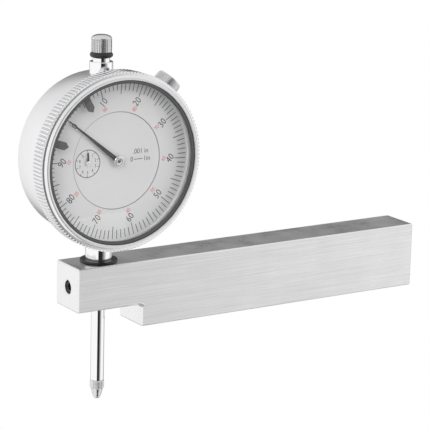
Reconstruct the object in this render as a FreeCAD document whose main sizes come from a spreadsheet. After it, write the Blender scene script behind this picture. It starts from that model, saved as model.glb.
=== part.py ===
import FreeCAD, Part
import math
import os
import Sketcher

# A one-inch dial indicator clamped by its stem in the nose of a stepped gauge bar.
# Frame: origin in the middle of the bar's reference underside, X along the bar away from
# the indicator, Y to the back of the dial, Z up.  Millimetres.
# Pieces of the dial are drawn in a frame of their own: X right, Y up, Z towards the reader,
# with its origin where the spindle axis passes the dial centre.

V = FreeCAD.Vector
DOC = FreeCAD.newDocument("dial_indicator")
SHEET = DOC.addObject("Spreadsheet::Sheet", "dims")


class Size:
    """A number of the sheet, or a sum of several, with its value and its expression."""

    def __init__(self, value, text):
        self.value = value
        self.text = text

    def __add__(self, other):
        return joined(self, "+", other)

    def __radd__(self, other):
        return joined(other, "+", self)

    def __sub__(self, other):
        return joined(self, "-", other)

    def __rsub__(self, other):
        return joined(other, "-", self)

    def __mul__(self, other):
        return joined(self, "*", other)

    def __rmul__(self, other):
        return joined(other, "*", self)

    def __truediv__(self, other):
        return joined(self, "/", other)

    def __rtruediv__(self, other):
        return joined(other, "/", self)

    def __neg__(self):
        return joined(-1.0, "*", self)


def as_size(number):
    """Wrap a plain number so that it can stand in an expression."""
    if isinstance(number, Size):
        return number
    return Size(float(number), "%.9g" % number)


def joined(first, sign, second):
    """Two numbers joined by + - * or /."""
    first, second = as_size(first), as_size(second)
    if sign == "+":
        value = first.value + second.value
    elif sign == "-":
        value = first.value - second.value
    elif sign == "*":
        value = first.value * second.value
    else:
        value = first.value / second.value
    return Size(value, "(%s %s %s)" % (first.text, sign, second.text))


def cosine(degrees):
    degrees = as_size(degrees)
    return Size(math.cos(math.radians(degrees.value)), "cos(%s * 1deg)" % degrees.text)


def sine(degrees):
    degrees = as_size(degrees)
    return Size(math.sin(math.radians(degrees.value)), "sin(%s * 1deg)" % degrees.text)


def root(number):
    return Size(math.sqrt(number.value), "sqrt(%s)" % number.text)


def bearing(across, up):
    """Direction in degrees of a step across and up."""
    across, up = as_size(across), as_size(up)
    value = math.degrees(math.atan2(up.value, across.value))
    return Size(value, "(atan2(%s; %s) / 1deg)" % (up.text, across.text))


def size(alias, number, note):
    """Put a driving dimension in the next row of the sheet and hand it back."""
    row = size.rows = getattr(size, "rows", 0) + 1
    SHEET.set("A%d" % row, alias)
    SHEET.set("B%d" % row, "%.9g" % number)
    SHEET.set("C%d" % row, note)
    SHEET.setAlias("B%d" % row, alias)
    return Size(float(number), "dims." + alias)


# ---- driving dimensions -------------------------------------------------------------

# bar
bar_length = size("bar_length", 146.0, "stepped bar, overall length")
bar_depth = size("bar_depth", 15.875, "bar, front to back")
bar_height = size("bar_height", 24.0, "bar, reference underside to top")
nose_length = size("nose_length", 26.0, "thin nose that carries the indicator")
nose_height = size("nose_height", 15.875, "thickness of the nose")
edge_break = size("edge_break", 0.4, "broken edges of the bar")
relief_radius = size("relief_radius", 1.0, "relief drilled in the inner corner of the step")
stem_inset = size("stem_inset", 12.5, "nose end to stem axis")
clamp_drop = size("clamp_drop", 8.1, "top of bar to the axis of the stem screw")
clamp_bore = size("clamp_bore", 2.413, "radius of the stem screw's hole")
clamp_recess = size("clamp_recess", 1.0, "stem screw below the end face")
clamp_socket = size("clamp_socket", 1.2, "hex socket of the stem screw, half across flats")
socket_depth = size("socket_depth", 2.6, "depth of the hex socket")

# fits
running_gap = size("running_gap", 0.03, "radial clearance of what slides or turns")
seat_gap = size("seat_gap", 0.01, "radial clearance of what is pressed or screwed in")
face_gap = size("face_gap", 0.1, "clearance between faces that turn past each other")

# stem, sleeve and plunger
stem_radius = size("stem_radius", 4.7625, "clamping stem")
stem_bore = size("stem_bore", 3.4, "bore of the stem above its bush")
stem_reach = size("stem_reach", 13.5, "stem inside the nose, below the top of the bar")
bush_length = size("bush_length", 9.0, "stem bush")
ring_radius = size("ring_radius", 6.7, "rubber ring round the foot of the stem")
ring_height = size("ring_height", 0.9, "thickness of that ring")
sleeve_radius = size("sleeve_radius", 4.1, "sleeve on top of the case")
sleeve_top = size("sleeve_top", 32.9, "dial centre to the shoulder of the sleeve")
sleeve_bore = size("sleeve_bore", 3.2, "bore of the sleeve round its bush")
spigot_radius = size("spigot_radius", 3.0, "thin end of the sleeve")
spigot_height = size("spigot_height", 1.3, "length of that thin end")
sleeve_root = size("sleeve_root", 26.0, "dial centre to the inner ends of stem and sleeve")
spindle_radius = size("spindle_radius", 2.38125, "spindle")
spindle_foot = size("spindle_foot", 19.7, "reference face down to the end of the spindle")
travel = size("travel", 25.4, "travel of the spindle")
thread_radius = size("thread_radius", 1.5, "threaded end of the spindle in the cap")
thread_length = size("thread_length", 5.0, "length of that end")
band_radius = size("band_radius", 2.55, "knurled band of the contact point")
band_length = size("band_length", 3.4, "length of that band")
nose_taper = size("nose_taper", 2.3, "taper of the contact point below its band")
tip_radius = size("tip_radius", 1.5, "ball end of the contact point")
shank_radius = size("shank_radius", 1.2, "threaded shank of the contact point")
shank_length = size("shank_length", 5.0, "length of that shank")
cushion_tube = size("cushion_tube", 0.9, "half thickness of the rubber cushion")
cushion_ring = size("cushion_ring", 3.15, "rubber cushion, middle radius")
cap_radius = size("cap_radius", 3.6, "lifting cap")
cap_height = size("cap_height", 5.1, "fluted height of the cap")
cap_dome = size("cap_dome", 1.1, "rise of the cap's rounded top")
cap_flutes = size("cap_flutes", 32, "flutes round the cap")

# case
dial_height = size("dial_height", 62.3, "reference face to dial centre")
case_radius = size("case_radius", 29.0, "case")
case_back = size("case_back", 6.2, "spindle axis back to the cover seat")
ledge_radius = size("ledge_radius", 23.5, "case bore behind the movement")
case_bore = size("case_bore", 26.0, "case bore round the movement")
boss_radius = size("boss_radius", 27.6, "boss that the bezel turns on")
boss_front = size("boss_front", 10.6, "front end of that boss")
groove_depth = size("groove_depth", 0.4, "grooves of the bezel spring")
groove_width = size("groove_width", 0.75, "width of those grooves")
groove_place = size("groove_place", 9.8, "middle of those grooves")
spring_tube = size("spring_tube", 0.3, "half thickness of the bezel's snap ring")
cover_radius = size("cover_radius", 28.4, "back cover")
cover_thick = size("cover_thick", 1.4, "thickness of the back cover")
cover_round = size("cover_round", 0.7, "bevelled edge of the back cover")
cover_spigot = size("cover_spigot", 0.8, "step of the cover inside the case")
cover_screw_ring = size("cover_screw_ring", 26.0, "radius of the ring of cover screws")
cover_screws = size("cover_screws", 4, "cover screws")
screw_head = size("screw_head", 1.4, "head radius of the cover screws")
screw_sink = size("screw_sink", 0.8, "depth of their heads")
screw_shank = size("screw_shank", 0.7, "shank radius of the small screws")
screw_grip = size("screw_grip", 3.0, "length of shank in the metal")

# bezel, crystal and dials
bezel_radius = size("bezel_radius", 31.5, "bezel over its knurl")
bezel_back = size("bezel_back", 9.0, "back face of the bezel")
bezel_front = size("bezel_front", 16.4, "front face of the bezel")
bezel_slope = size("bezel_slope", 0.7, "bevel of the front edge")
bezel_step = size("bezel_step", 1.1, "plain front band, inside the knurl crests")
knurl_front = size("knurl_front", 15.3, "front end of the knurl")
knurl_depth = size("knurl_depth", 0.5, "depth of the knurl")
knurl_teeth = size("knurl_teeth", 146, "teeth of the knurl")
window_radius = size("window_radius", 28.8, "seat of crystal and sealing ring")
crystal_back = size("crystal_back", 14.0, "back of the crystal")
crystal_thick = size("crystal_thick", 1.0, "thickness of the crystal")
seal_bore = size("seal_bore", 27.3, "dark sealing ring, inside")
seal_thick = size("seal_thick", 1.1, "dark sealing ring, thickness")
dial_seat = size("dial_seat", 28.3, "bore of the bezel round the outer dial")
outer_dial_back = size("outer_dial_back", 10.9, "back of the turning dial ring")
dial_thick = size("dial_thick", 0.5, "thickness of the dials")
inner_dial_radius = size("inner_dial_radius", 16.8, "fixed inner dial")
inner_dial_back = size("inner_dial_back", 10.7, "back of the fixed dial")
dial_gap = size("dial_gap", 0.2, "gap between the two dials")
foot_radius = size("foot_radius", 1.0, "feet of the fixed dial")
foot_ring = size("foot_ring", 13.0, "distance of the feet from the centre")
limit_ring = size("limit_ring", 27.5, "friction rings of the tolerance hands, inside")
limit_thick = size("limit_thick", 0.25, "thickness of the tolerance hands")
limit_back = size("limit_back", 13.2, "back of the rear tolerance hand")
limit_reach = size("limit_reach", 23.3, "dial centre to the tip of a tolerance hand")
limit_width = size("limit_width", 2.0, "width of a tolerance hand")
limit_angle = size("limit_angle", 20.0, "tolerance hands either side of the zero")
zero_angle = size("zero_angle", 51.0, "zero of the turned dial, counter-clockwise from the top")

# bezel clamp
knob_radius = size("knob_radius", 4.6, "knurled clamp knob")
knob_place = size("knob_place", 4.0, "knob axis in front of the spindle axis")
knob_foot = size("knob_foot", 29.6, "dial centre to the underside of the knob")
knob_thick = size("knob_thick", 5.4, "thickness of the knob")
knob_flutes = size("knob_flutes", 36, "flutes of the knob")
knob_angle = size("knob_angle", 45.0, "knob axis, clockwise from the top")
clamp_shank = size("clamp_shank", 1.5, "shank of the clamp knob")
clamp_tip = size("clamp_tip", 26.4, "dial centre to the end of that shank")
shoe_radius = size("shoe_radius", 0.5, "clamp shoe")
shoe_ring = size("shoe_ring", 28.3, "dial centre to the clamp shoe")

# movement
rack_pitch = size("rack_pitch", 0.635, "pitch of the rack")
rack_line = size("rack_line", 1.9, "spindle axis to the rack's pitch line")
rack_teeth = size("rack_teeth", 20, "rack pinion")
main_teeth = size("main_teeth", 100, "main gear")
centre_teeth = size("centre_teeth", 20, "centre pinion")
takeup_teeth = size("takeup_teeth", 80, "take-up gear")
fine_module = size("fine_module", 0.2, "module of main, centre and take-up gears")
counter_pinion_teeth = size("counter_pinion_teeth", 30, "counter pinion")
counter_teeth = size("counter_teeth", 60, "counter gear")
counter_module = size("counter_module", 0.3, "module of the counter gears")
counter_across = size("counter_across", 11.3, "counter arbor left of the centre")
takeup_angle = size("takeup_angle", 8.0, "direction of the take-up arbor")
addendum = size("addendum", 0.9, "tooth height above the pitch circle, in modules")
dedendum = size("dedendum", 1.15, "tooth depth below it, in modules")
gap_share = size("gap_share", 0.56, "gap width at the pitch circle, share of the pitch")
flank_angle = size("flank_angle", 20.0, "pressure angle")
arbor_radius = size("arbor_radius", 0.8, "arbors")
pivot_radius = size("pivot_radius", 0.5, "pivots of the arbors")
jewel_radius = size("jewel_radius", 1.2, "bearing jewels")
plate_radius = size("plate_radius", 25.8, "movement plate")
plate_back = size("plate_back", 2.8, "back of the movement plate")
plate_thick = size("plate_thick", 0.8, "thickness of plates and bridges")
gear_back = size("gear_back", 4.4, "back of the main gear layer")
gear_thick = size("gear_thick", 0.8, "thickness of the gears")
counter_back = size("counter_back", 5.8, "back of the counter gear layer")
bridge_back = size("bridge_back", 7.8, "back of the front bridge")
bridge_radius = size("bridge_radius", 23.4, "front bridge")
pillar_radius = size("pillar_radius", 1.5, "pillars under the front bridge")
pillar_ring = size("pillar_ring", 21.5, "distance of the pillars from the centre")
plate_screw_ring = size("plate_screw_ring", 24.7, "distance of the plate screws from the centre")
small_head = size("small_head", 1.1, "heads of plate and bridge screws")
small_head_height = size("small_head_height", 0.7, "height of those heads")
rear_bridge_back = size("rear_bridge_back", 3.6, "spindle axis back to the rear bridge's far face")
rear_leg_across = size("rear_leg_across", 8.2, "legs of the rear bridge left of the spindle")
rear_leg_spread = size("rear_leg_spread", 3.7, "legs above and below the rack pinion")
rear_leg_radius = size("rear_leg_radius", 1.0, "legs of the rear bridge")
pinion_face = size("pinion_face", 3.2, "face width of the rack pinion")
pin_radius = size("pin_radius", 0.8, "guide pin in the spindle")
pin_drop = size("pin_drop", 5.0, "guide pin below the dial centre")
pin_end = size("pin_end", 8.6, "end of the guide pin right of the spindle axis")
rail_across = size("rail_across", 3.4, "guide rail right of the spindle axis")
rail_thick = size("rail_thick", 1.0, "thickness of the guide rail")
rail_back = size("rail_back", 2.4, "rail behind the spindle axis")
rail_margin = size("rail_margin", 1.0, "metal past the ends of the guide slot")
slot_play = size("slot_play", 0.05, "clearance of the guide pin in its slot")
coil_across = size("coil_across", 7.4, "return spring right of the spindle axis")
coil_radius = size("coil_radius", 1.3, "return spring, middle radius")
coil_wire = size("coil_wire", 0.2, "return spring, wire radius")
coil_turns = size("coil_turns", 9, "turns of the return spring")
post_drop = size("post_drop", 20.8, "spring post below the dial centre")
post_radius = size("post_radius", 0.8, "spring post")
hair_turns = size("hair_turns", 4, "turns of the hairspring")
hair_inner = size("hair_inner", 1.5, "inner radius of the hairspring")
hair_outer = size("hair_outer", 5.1, "outer radius of the hairspring")
hair_back = size("hair_back", 6.0, "back of the hairspring")
hair_width = size("hair_width", 0.5, "width of its ribbon")
hair_thick = size("hair_thick", 0.12, "thickness of its ribbon")

# hands
pointer_length = size("pointer_length", 24.5, "pointer, centre to tip")
pointer_tail = size("pointer_tail", 7.0, "pointer, centre to tail")
pointer_width = size("pointer_width", 2.2, "pointer at the hub")
pointer_point = size("pointer_point", 0.3, "pointer at its tip")
pointer_back = size("pointer_back", 12.3, "back of the pointer")
hand_thick = size("hand_thick", 0.2, "thickness of the hands")
hub_radius = size("hub_radius", 1.9, "hub of the pointer")
hub_back = size("hub_back", 12.0, "back of that hub")
hub_front = size("hub_front", 13.1, "front of that hub")
counter_hand_length = size("counter_hand_length", 3.9, "revolution hand")
counter_hand_width = size("counter_hand_width", 0.8, "revolution hand at its hub")
counter_hand_back = size("counter_hand_back", 11.5, "back of the revolution hand")
counter_hub = size("counter_hub", 0.95, "hub of the revolution hand")
SHEET.recompute()

# ---- places that follow from them -----------------------------------------------------

stem_x = stem_inset - bar_length + (bar_length - nose_length) / 2
bar_left = -(bar_length + nose_length) / 2
bar_right = (bar_length - nose_length) / 2
step_x = bar_left + nose_length
nose_under = bar_height - nose_height
clamp_z = bar_height - clamp_drop
rack_module = rack_pitch / math.pi
rack_pinion_pitch = rack_teeth * rack_module / 2
main_to_centre = (main_teeth + centre_teeth) * fine_module / 2
drive_x = -(rack_line + rack_pinion_pitch)
drive_y = -root(main_to_centre * main_to_centre - drive_x * drive_x)
counter_x = -counter_across
drive_to_counter = (counter_pinion_teeth + counter_teeth) * counter_module / 2
counter_step = counter_x - drive_x
counter_y = drive_y + root(drive_to_counter * drive_to_counter - counter_step * counter_step)
centre_to_takeup = (centre_teeth + takeup_teeth) * fine_module / 2
takeup_x = centre_to_takeup * cosine(takeup_angle)
takeup_y = centre_to_takeup * sine(takeup_angle)
pointer_angle = 90.0 + zero_angle


# ---- drawing helpers -----------------------------------------------------------------

def origin_of(body, role):
    """An origin plane or axis of a body, by its role."""
    return next(item for item in body.Origin.OriginFeatures if item.Role == role)


def place(piece, across=0.0, depth=0.0, up=0.0, facing="up", turn=0.0):
    """Seat a piece in the part's frame; facing says where its own Z axis looks."""
    turns = {
        "up": FreeCAD.Rotation(),
        "front": FreeCAD.Rotation(V(1, 0, 0), 90),
        "right": FreeCAD.Rotation(V(0, 1, 0), 90),
        "radial": FreeCAD.Rotation(V(0, 1, 0), as_size(turn).value),
    }
    spot = [as_size(across), as_size(depth), as_size(up)]
    piece.Placement = FreeCAD.Placement(V(*[number.value for number in spot]), turns[facing])
    for axis, number in zip("xyz", spot):
        piece.setExpression(".Placement.Base." + axis, number.text)
    if facing == "radial":
        piece.setExpression(".Placement.Rotation.Angle", as_size(turn).text)
    return piece


def on_dial(piece, across=0.0, up=0.0, front=0.0):
    """Seat a piece in the dial's frame."""
    return place(piece, stem_x + across, -as_size(front), dial_height + up, "front")


def new_body(label):
    body = DOC.addObject("PartDesign::Body", label)
    body.Label = label
    return body


def new_sketch(body, plane, name, offset=0.0):
    """A sketch on one of the body's own origin planes."""
    sketch = body.newObject("Sketcher::SketchObject", name)
    sketch.AttachmentSupport = [(origin_of(body, plane), "")]
    sketch.MapMode = "FlatFace"
    offset = as_size(offset)
    if offset.value:
        sketch.AttachmentOffset = FreeCAD.Placement(V(0, 0, offset.value), FreeCAD.Rotation())
        sketch.setExpression(".AttachmentOffset.Base.z", offset.text)
    return sketch


def fix(sketch, kind, value, *where):
    """Add a dimension bound to the sheet."""
    value = as_size(value)
    number = sketch.addConstraint(Sketcher.Constraint(kind, *where, value.value))
    if "dims." in value.text:
        sketch.setExpression("Constraints[%d]" % number, value.text)


def arc_between(start, end, radius, side):
    """Arc of a circle from start to end; side +1 turns left, -1 turns right."""
    chord = end - start
    middle = (start + end) * 0.5
    height = math.sqrt(max(radius ** 2 - (chord.Length / 2) ** 2, 0.0))
    centre = middle + V(-chord.y, chord.x, 0).normalize() * (height * side)
    first, last = (start, end) if side > 0 else (end, start)
    begin = math.atan2(first.y - centre.y, first.x - centre.x)
    finish = math.atan2(last.y - centre.y, last.x - centre.x)
    if finish <= begin:
        finish += 2 * math.pi
    return Part.ArcOfCircle(Part.Circle(centre, V(0, 0, 1), radius), begin, finish)


def outline(sketch, corners):
    """A closed outline through corners (x, y); (x, y, radius, side) arcs to the next one."""
    first = sketch.GeometryCount
    spots = [V(as_size(c[0]).value, as_size(c[1]).value, 0) for c in corners]
    total = len(corners)
    ends = []
    for k, corner in enumerate(corners):
        start, end = spots[k], spots[(k + 1) % total]
        if len(corner) == 2:
            sketch.addGeometry(Part.LineSegment(start, end))
            ends.append((1, 2))
        else:
            sketch.addGeometry(arc_between(start, end, as_size(corner[2]).value, corner[3]))
            ends.append((1, 2) if corner[3] > 0 else (2, 1))
    for k in range(total):
        after = (k + 1) % total
        sketch.addConstraint(
            Sketcher.Constraint("Coincident", first + k, ends[k][1], first + after, ends[after][0]))
    for k, corner in enumerate(corners):
        fix(sketch, "DistanceX", corner[0], -1, 1, first + k, ends[k][0])
        fix(sketch, "DistanceY", corner[1], -1, 1, first + k, ends[k][0])
        if len(corner) > 2:
            fix(sketch, "Radius", corner[2], first + k)


def circle(sketch, radius, across=0.0, up=0.0):
    """A circle, dimensioned from the sketch's origin."""
    centre = V(as_size(across).value, as_size(up).value, 0)
    geo = sketch.addGeometry(Part.Circle(centre, V(0, 0, 1), as_size(radius).value))
    fix(sketch, "Radius", radius, geo)
    fix(sketch, "DistanceX", across, -1, 1, geo, 3)
    fix(sketch, "DistanceY", up, -1, 1, geo, 3)


def bind(piece, **lengths):
    """Set properties and bind them to the sheet."""
    for name, number in lengths.items():
        number = as_size(number)
        setattr(piece, name, number.value)
        piece.setExpression(name, number.text)


def pad(body, sketch, length, middle=False):
    feature = body.newObject("PartDesign::Pad", sketch.Name + "_pad")
    feature.Profile = sketch
    feature.SideType = "Symmetric" if middle else "One side"
    bind(feature, Length=length)
    return feature


def pocket(body, sketch, length=None, reverse=False, middle=False):
    """Cut a sketch away, through everything where no length is given."""
    before = body.Tip.Shape.Volume if body.Tip and not body.Tip.Shape.isNull() else None
    feature = body.newObject("PartDesign::Pocket", sketch.Name + "_cut")
    feature.Profile = sketch
    feature.Reversed = reverse
    feature.SideType = "Symmetric" if middle else "One side"
    if length is None:
        feature.Type = "ThroughAll"
    else:
        bind(feature, Length=length)
    DOC.recompute()
    if before is not None and feature.Shape.Volume >= before:
        raise RuntimeError(body.Label + ": " + sketch.Name + " cuts nothing")
    return feature


def around(body, feature, count):
    """Repeat a feature round the body's Z axis."""
    pattern = body.newObject("PartDesign::PolarPattern", feature.Name + "_round")
    pattern.Originals = [feature]
    pattern.Axis = (origin_of(body, "Z_Axis"), [""])
    pattern.Angle = 360
    pattern.Occurrences = round(as_size(count).value)
    pattern.setExpression("Occurrences", as_size(count).text)
    body.Tip = pattern
    return pattern


def turned(label, corners):
    """A body turned round its own Z axis from an outline of (radius, height)."""
    body = new_body(label)
    sketch = new_sketch(body, "XZ_Plane", label + "_profile")
    outline(sketch, corners)
    feature = body.newObject("PartDesign::Revolution", label + "_turned")
    feature.Profile = sketch
    feature.ReferenceAxis = (sketch, ["V_Axis"])
    feature.Angle = 360
    return body


def ring(label, inside, outside, low, high):
    """A plain turned ring or, with no inside, a disc."""
    return turned(label, [(inside, low), (outside, low), (outside, high), (inside, high)])


def polar(distance, degrees):
    """A point at a distance and direction."""
    return as_size(distance) * cosine(degrees), as_size(distance) * sine(degrees)


def strip_point(along, sideways, degrees):
    """A point along a direction and to the left of it."""
    x = as_size(along) * cosine(degrees) - as_size(sideways) * sine(degrees)
    y = as_size(along) * sine(degrees) + as_size(sideways) * cosine(degrees)
    return x, y


def holes(body, spots, radius, name, plane="XY_Plane"):
    """Through holes at several spots of a plate."""
    sketch = new_sketch(body, plane, name)
    for spot in spots:
        circle(sketch, radius, *spot)
    return pocket(body, sketch, middle=True)


def flutes(body, radius, depth, count, low, high, name, lean=0.5):
    """V-shaped flutes round a turned body between two heights."""
    sketch = new_sketch(body, "XY_Plane", name, low)
    outer = as_size(radius) + 0.1
    half = as_size(radius) * math.pi / count * lean
    outline(sketch, [(radius - depth, 0.0), (outer, half), (outer, -half)])
    return around(body, pocket(body, sketch, high - low, reverse=True), count)


def toothed(label, count, module, gap_at, bore, thick):
    """A spur gear on a bore; gap_at is the direction of one of its tooth gaps."""
    pitch_radius = count * module / 2
    tip = pitch_radius + addendum * module
    foot = pitch_radius - dedendum * module
    body = ring(label, bore, tip, 0.0, thick)
    slope = flank_angle + 90.0 / count
    tangent = sine(slope) / cosine(slope)
    half_gap = gap_share * math.pi * module / 2
    wide = half_gap + (addendum * module + module) * tangent
    narrow = half_gap - dedendum * module * tangent
    sketch = new_sketch(body, "XY_Plane", label + "_gap")
    outer = tip + module
    outline(sketch, [strip_point(foot, narrow, gap_at), strip_point(foot, -narrow, gap_at),
                     strip_point(outer, -wide, gap_at), strip_point(outer, wide, gap_at)])
    around(body, pocket(body, sketch, reverse=True), count)
    return body


def rod(name, radius, height):
    """A plain cylinder along its own Z axis."""
    piece = DOC.addObject("Part::Cylinder", name)
    bind(piece, Radius=radius, Height=height)
    return piece


def joined_piece(kind, label, members):
    """Several primitives as one named piece: a fused solid or a group of solids."""
    piece = DOC.addObject(kind, label)
    piece.Label = label
    if kind == "Part::Compound":
        piece.Links = members
    else:
        piece.Shapes = members
    return piece


def edges_where(shape, test):
    """Names of the edges of a shape that pass a test."""
    return ["Edge%d" % (k + 1) for k, edge in enumerate(shape.Edges) if test(edge)]


# ---- the bar and what clamps the stem --------------------------------------------------

def make_bar():
    bar = new_body("holder_bar")
    sketch = new_sketch(bar, "XZ_Plane", "bar_side")
    outline(sketch, [(step_x, 0.0), (bar_right, 0.0), (bar_right, bar_height), (bar_left, bar_height),
                     (bar_left, nose_under), (step_x, nose_under)])
    block = pad(bar, sketch, bar_depth, middle=True)
    DOC.recompute()
    inner = V(step_x.value, 0, nose_under.value)

    def is_outer(edge):
        middle = edge.CenterOfMass
        return math.hypot(middle.x - inner.x, middle.z - inner.z) > 0.5

    broken = bar.newObject("PartDesign::Chamfer", "bar_edges")
    broken.Base = (block, edges_where(block.Shape, is_outer))
    bind(broken, Size=edge_break)
    DOC.recompute()
    holes(bar, [(stem_x, 0.0)], stem_radius + running_gap, "stem_hole")
    sketch = new_sketch(bar, "XZ_Plane", "relief")
    circle(sketch, relief_radius, step_x, nose_under)
    pocket(bar, sketch, middle=True)
    sketch = new_sketch(bar, "YZ_Plane", "clamp_hole", bar_left)
    circle(sketch, clamp_bore, 0.0, clamp_z)
    drilled = pocket(bar, sketch, stem_inset, reverse=True)

    def is_mouth(edge):
        return (isinstance(edge.Curve, Part.Circle)
                and abs(edge.Curve.Radius - clamp_bore.value) < 1e-6
                and abs(edge.CenterOfMass.x - bar_left.value) < 1e-3)

    mouth = bar.newObject("PartDesign::Chamfer", "clamp_mouth")
    mouth.Base = (drilled, edges_where(drilled.Shape, is_mouth))
    bind(mouth, Size=edge_break)


def make_stem_screw():
    """Socket screw in the end of the nose; its cup bears on the stem."""
    reach = stem_inset - stem_radius - clamp_recess - face_gap
    outer = clamp_bore - running_gap
    screw = turned("stem_screw", [(0.0, 0.0), (outer - edge_break, 0.0), (outer, edge_break),
                                  (outer, reach - edge_break * 2), (outer - edge_break * 2, reach),
                                  (0.0, reach)])
    sketch = new_sketch(screw, "XY_Plane", "hex_socket")
    corner = clamp_socket / cosine(30.0)
    outline(sketch, [polar(corner, 60.0 * k + 30.0) for k in range(6)])
    pocket(screw, sketch, socket_depth, reverse=True)
    place(screw, bar_left + clamp_recess, 0.0, clamp_z, "right")


# ---- stem, sleeve and what slides in them -----------------------------------------------

def make_stem():
    foot = bar_height - stem_reach
    top = dial_height - sleeve_root
    bush_bore = spindle_radius + running_gap
    stem = turned("stem", [(stem_bore, foot), (stem_radius - edge_break, foot),
                           (stem_radius, foot + edge_break), (stem_radius, top), (stem_bore, top)])
    bush = ring("stem_bush", bush_bore, stem_bore - seat_gap, foot, foot + bush_length)
    washer = turned("stem_ring", [
        (stem_radius + running_gap, bar_height), (ring_radius - edge_break, bar_height),
        (ring_radius, bar_height + edge_break), (ring_radius, bar_height + ring_height - edge_break),
        (ring_radius - edge_break, bar_height + ring_height),
        (stem_radius + running_gap, bar_height + ring_height)])
    root_z = dial_height + sleeve_root
    shoulder = dial_height + sleeve_top
    end = shoulder + spigot_height
    sleeve = turned("top_sleeve", [
        (sleeve_bore, root_z), (sleeve_radius, root_z), (sleeve_radius, shoulder - edge_break),
        (sleeve_radius - edge_break, shoulder), (spigot_radius, shoulder), (spigot_radius, end),
        (bush_bore + face_gap, end), (bush_bore + face_gap, shoulder - 1.0), (sleeve_bore, shoulder - 1.0)])
    upper = ring("sleeve_bush", bush_bore, sleeve_bore - seat_gap, root_z, shoulder - 1.0 - seat_gap)
    for piece in (stem, bush, washer, sleeve, upper):
        place(piece, stem_x)


def make_plunger():
    foot = -spindle_foot
    cushion_foot = dial_height + sleeve_top + spigot_height + seat_gap * 2
    shank_bore = shank_radius + seat_gap
    spindle = turned("rack_spindle", [
        (0.0, foot + shank_length + 0.5), (shank_bore, foot + shank_length), (shank_bore, foot),
        (spindle_radius, foot), (spindle_radius, cushion_foot), (thread_radius, cushion_foot),
        (thread_radius, cushion_foot + thread_length), (0.0, cushion_foot + thread_length)])
    rack_y = dial_height + drive_y
    tip_x = -(rack_line - addendum * rack_module)
    root_x = -(rack_line - dedendum * rack_module)
    rack_top = rack_y + 2.5 * rack_pitch
    rack_gaps = travel / rack_pitch + 5.0
    flat = new_sketch(spindle, "XZ_Plane", "rack_flat")
    low, high = rack_top - rack_gaps * rack_pitch, rack_top + rack_pitch / 2
    wide = -(spindle_radius + 1.0)
    outline(flat, [(wide, low), (tip_x, low), (tip_x, high), (wide, high)])
    pocket(spindle, flat, middle=True)
    gap = new_sketch(spindle, "XZ_Plane", "rack_gap")
    slope = sine(flank_angle) / cosine(flank_angle)
    half = gap_share * rack_pitch / 2
    narrow = half - dedendum * rack_module * slope
    broad = half + (addendum + 1.0) * rack_module * slope
    outline(gap, [(root_x, rack_top - narrow), (root_x, rack_top + narrow),
                  (tip_x - rack_module, rack_top + broad), (tip_x - rack_module, rack_top - broad)])
    tooth = pocket(spindle, gap, middle=True)
    rack = spindle.newObject("PartDesign::LinearPattern", "rack")
    rack.Originals = [tooth]
    rack.Direction = (origin_of(spindle, "Z_Axis"), [""])
    rack.Reversed = True
    rack.Mode = "Spacing"
    rack.Occurrences = round(rack_gaps.value)
    rack.setExpression("Occurrences", rack_gaps.text)
    bind(rack, Offset=rack_pitch)
    spindle.Tip = rack
    pin_hole = new_sketch(spindle, "YZ_Plane", "pin_hole")
    circle(pin_hole, pin_radius + seat_gap, 0.0, dial_height - pin_drop)
    pocket(spindle, pin_hole, reverse=True)
    place(spindle, stem_x)

    pin = rod("guide_pin", pin_radius, pin_end - face_gap)
    pin.Label = "guide_pin"
    place(pin, stem_x + face_gap, 0.0, dial_height - pin_drop, "right")


def make_contact_point():
    """Screwed-in contact: knurled band, taper and ball end."""
    foot = -spindle_foot
    band_low = foot - band_length
    shoulder = band_low - nose_taper
    point = turned("contact_point", [
        (0.0, shoulder - tip_radius, tip_radius, 1), (tip_radius, shoulder),
        (band_radius - edge_break, band_low), (band_radius, band_low + edge_break),
        (band_radius, foot - edge_break), (band_radius - edge_break, foot), (shank_radius, foot),
        (shank_radius, foot + shank_length), (0.0, foot + shank_length)])
    flutes(point, band_radius, edge_break / 2, cap_flutes, band_low, foot, "band_flutes")
    place(point, stem_x)


def make_cap():
    """Knurled lifting cap on the spindle's threaded end, with a rubber cushion under it."""
    foot = dial_height + sleeve_top + spigot_height + seat_gap * 2
    brim = foot + cushion_tube * 2
    top = brim + cap_height
    neck = cushion_ring - cushion_tube - seat_gap
    bore = thread_radius + seat_gap
    round_radius = (cap_radius * cap_radius + cap_dome * cap_dome) / (2 * cap_dome)
    end = foot + thread_length + face_gap
    cap = turned("lift_cap", [
        (bore, foot + seat_gap), (neck, foot + seat_gap), (neck, brim), (cap_radius, brim),
        (cap_radius, top, round_radius, 1), (0.0, top + cap_dome), (0.0, end), (bore, end)])
    flutes(cap, cap_radius, edge_break * 0.75, cap_flutes, brim, top - edge_break, "cap_flutes_cut")
    place(cap, stem_x)
    thick = cushion_tube - seat_gap
    bevel = thick * 0.55
    inside, outside = cushion_ring - thick, cushion_ring + thick
    low, high = foot + seat_gap, foot + seat_gap + thick * 2
    cushion = turned("cap_cushion", [
        (inside, low), (outside - bevel, low), (outside, low + bevel), (outside, high - bevel),
        (outside - bevel, high), (inside, high)])
    place(cushion, stem_x)


# ---- case ---------------------------------------------------------------------------------

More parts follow.
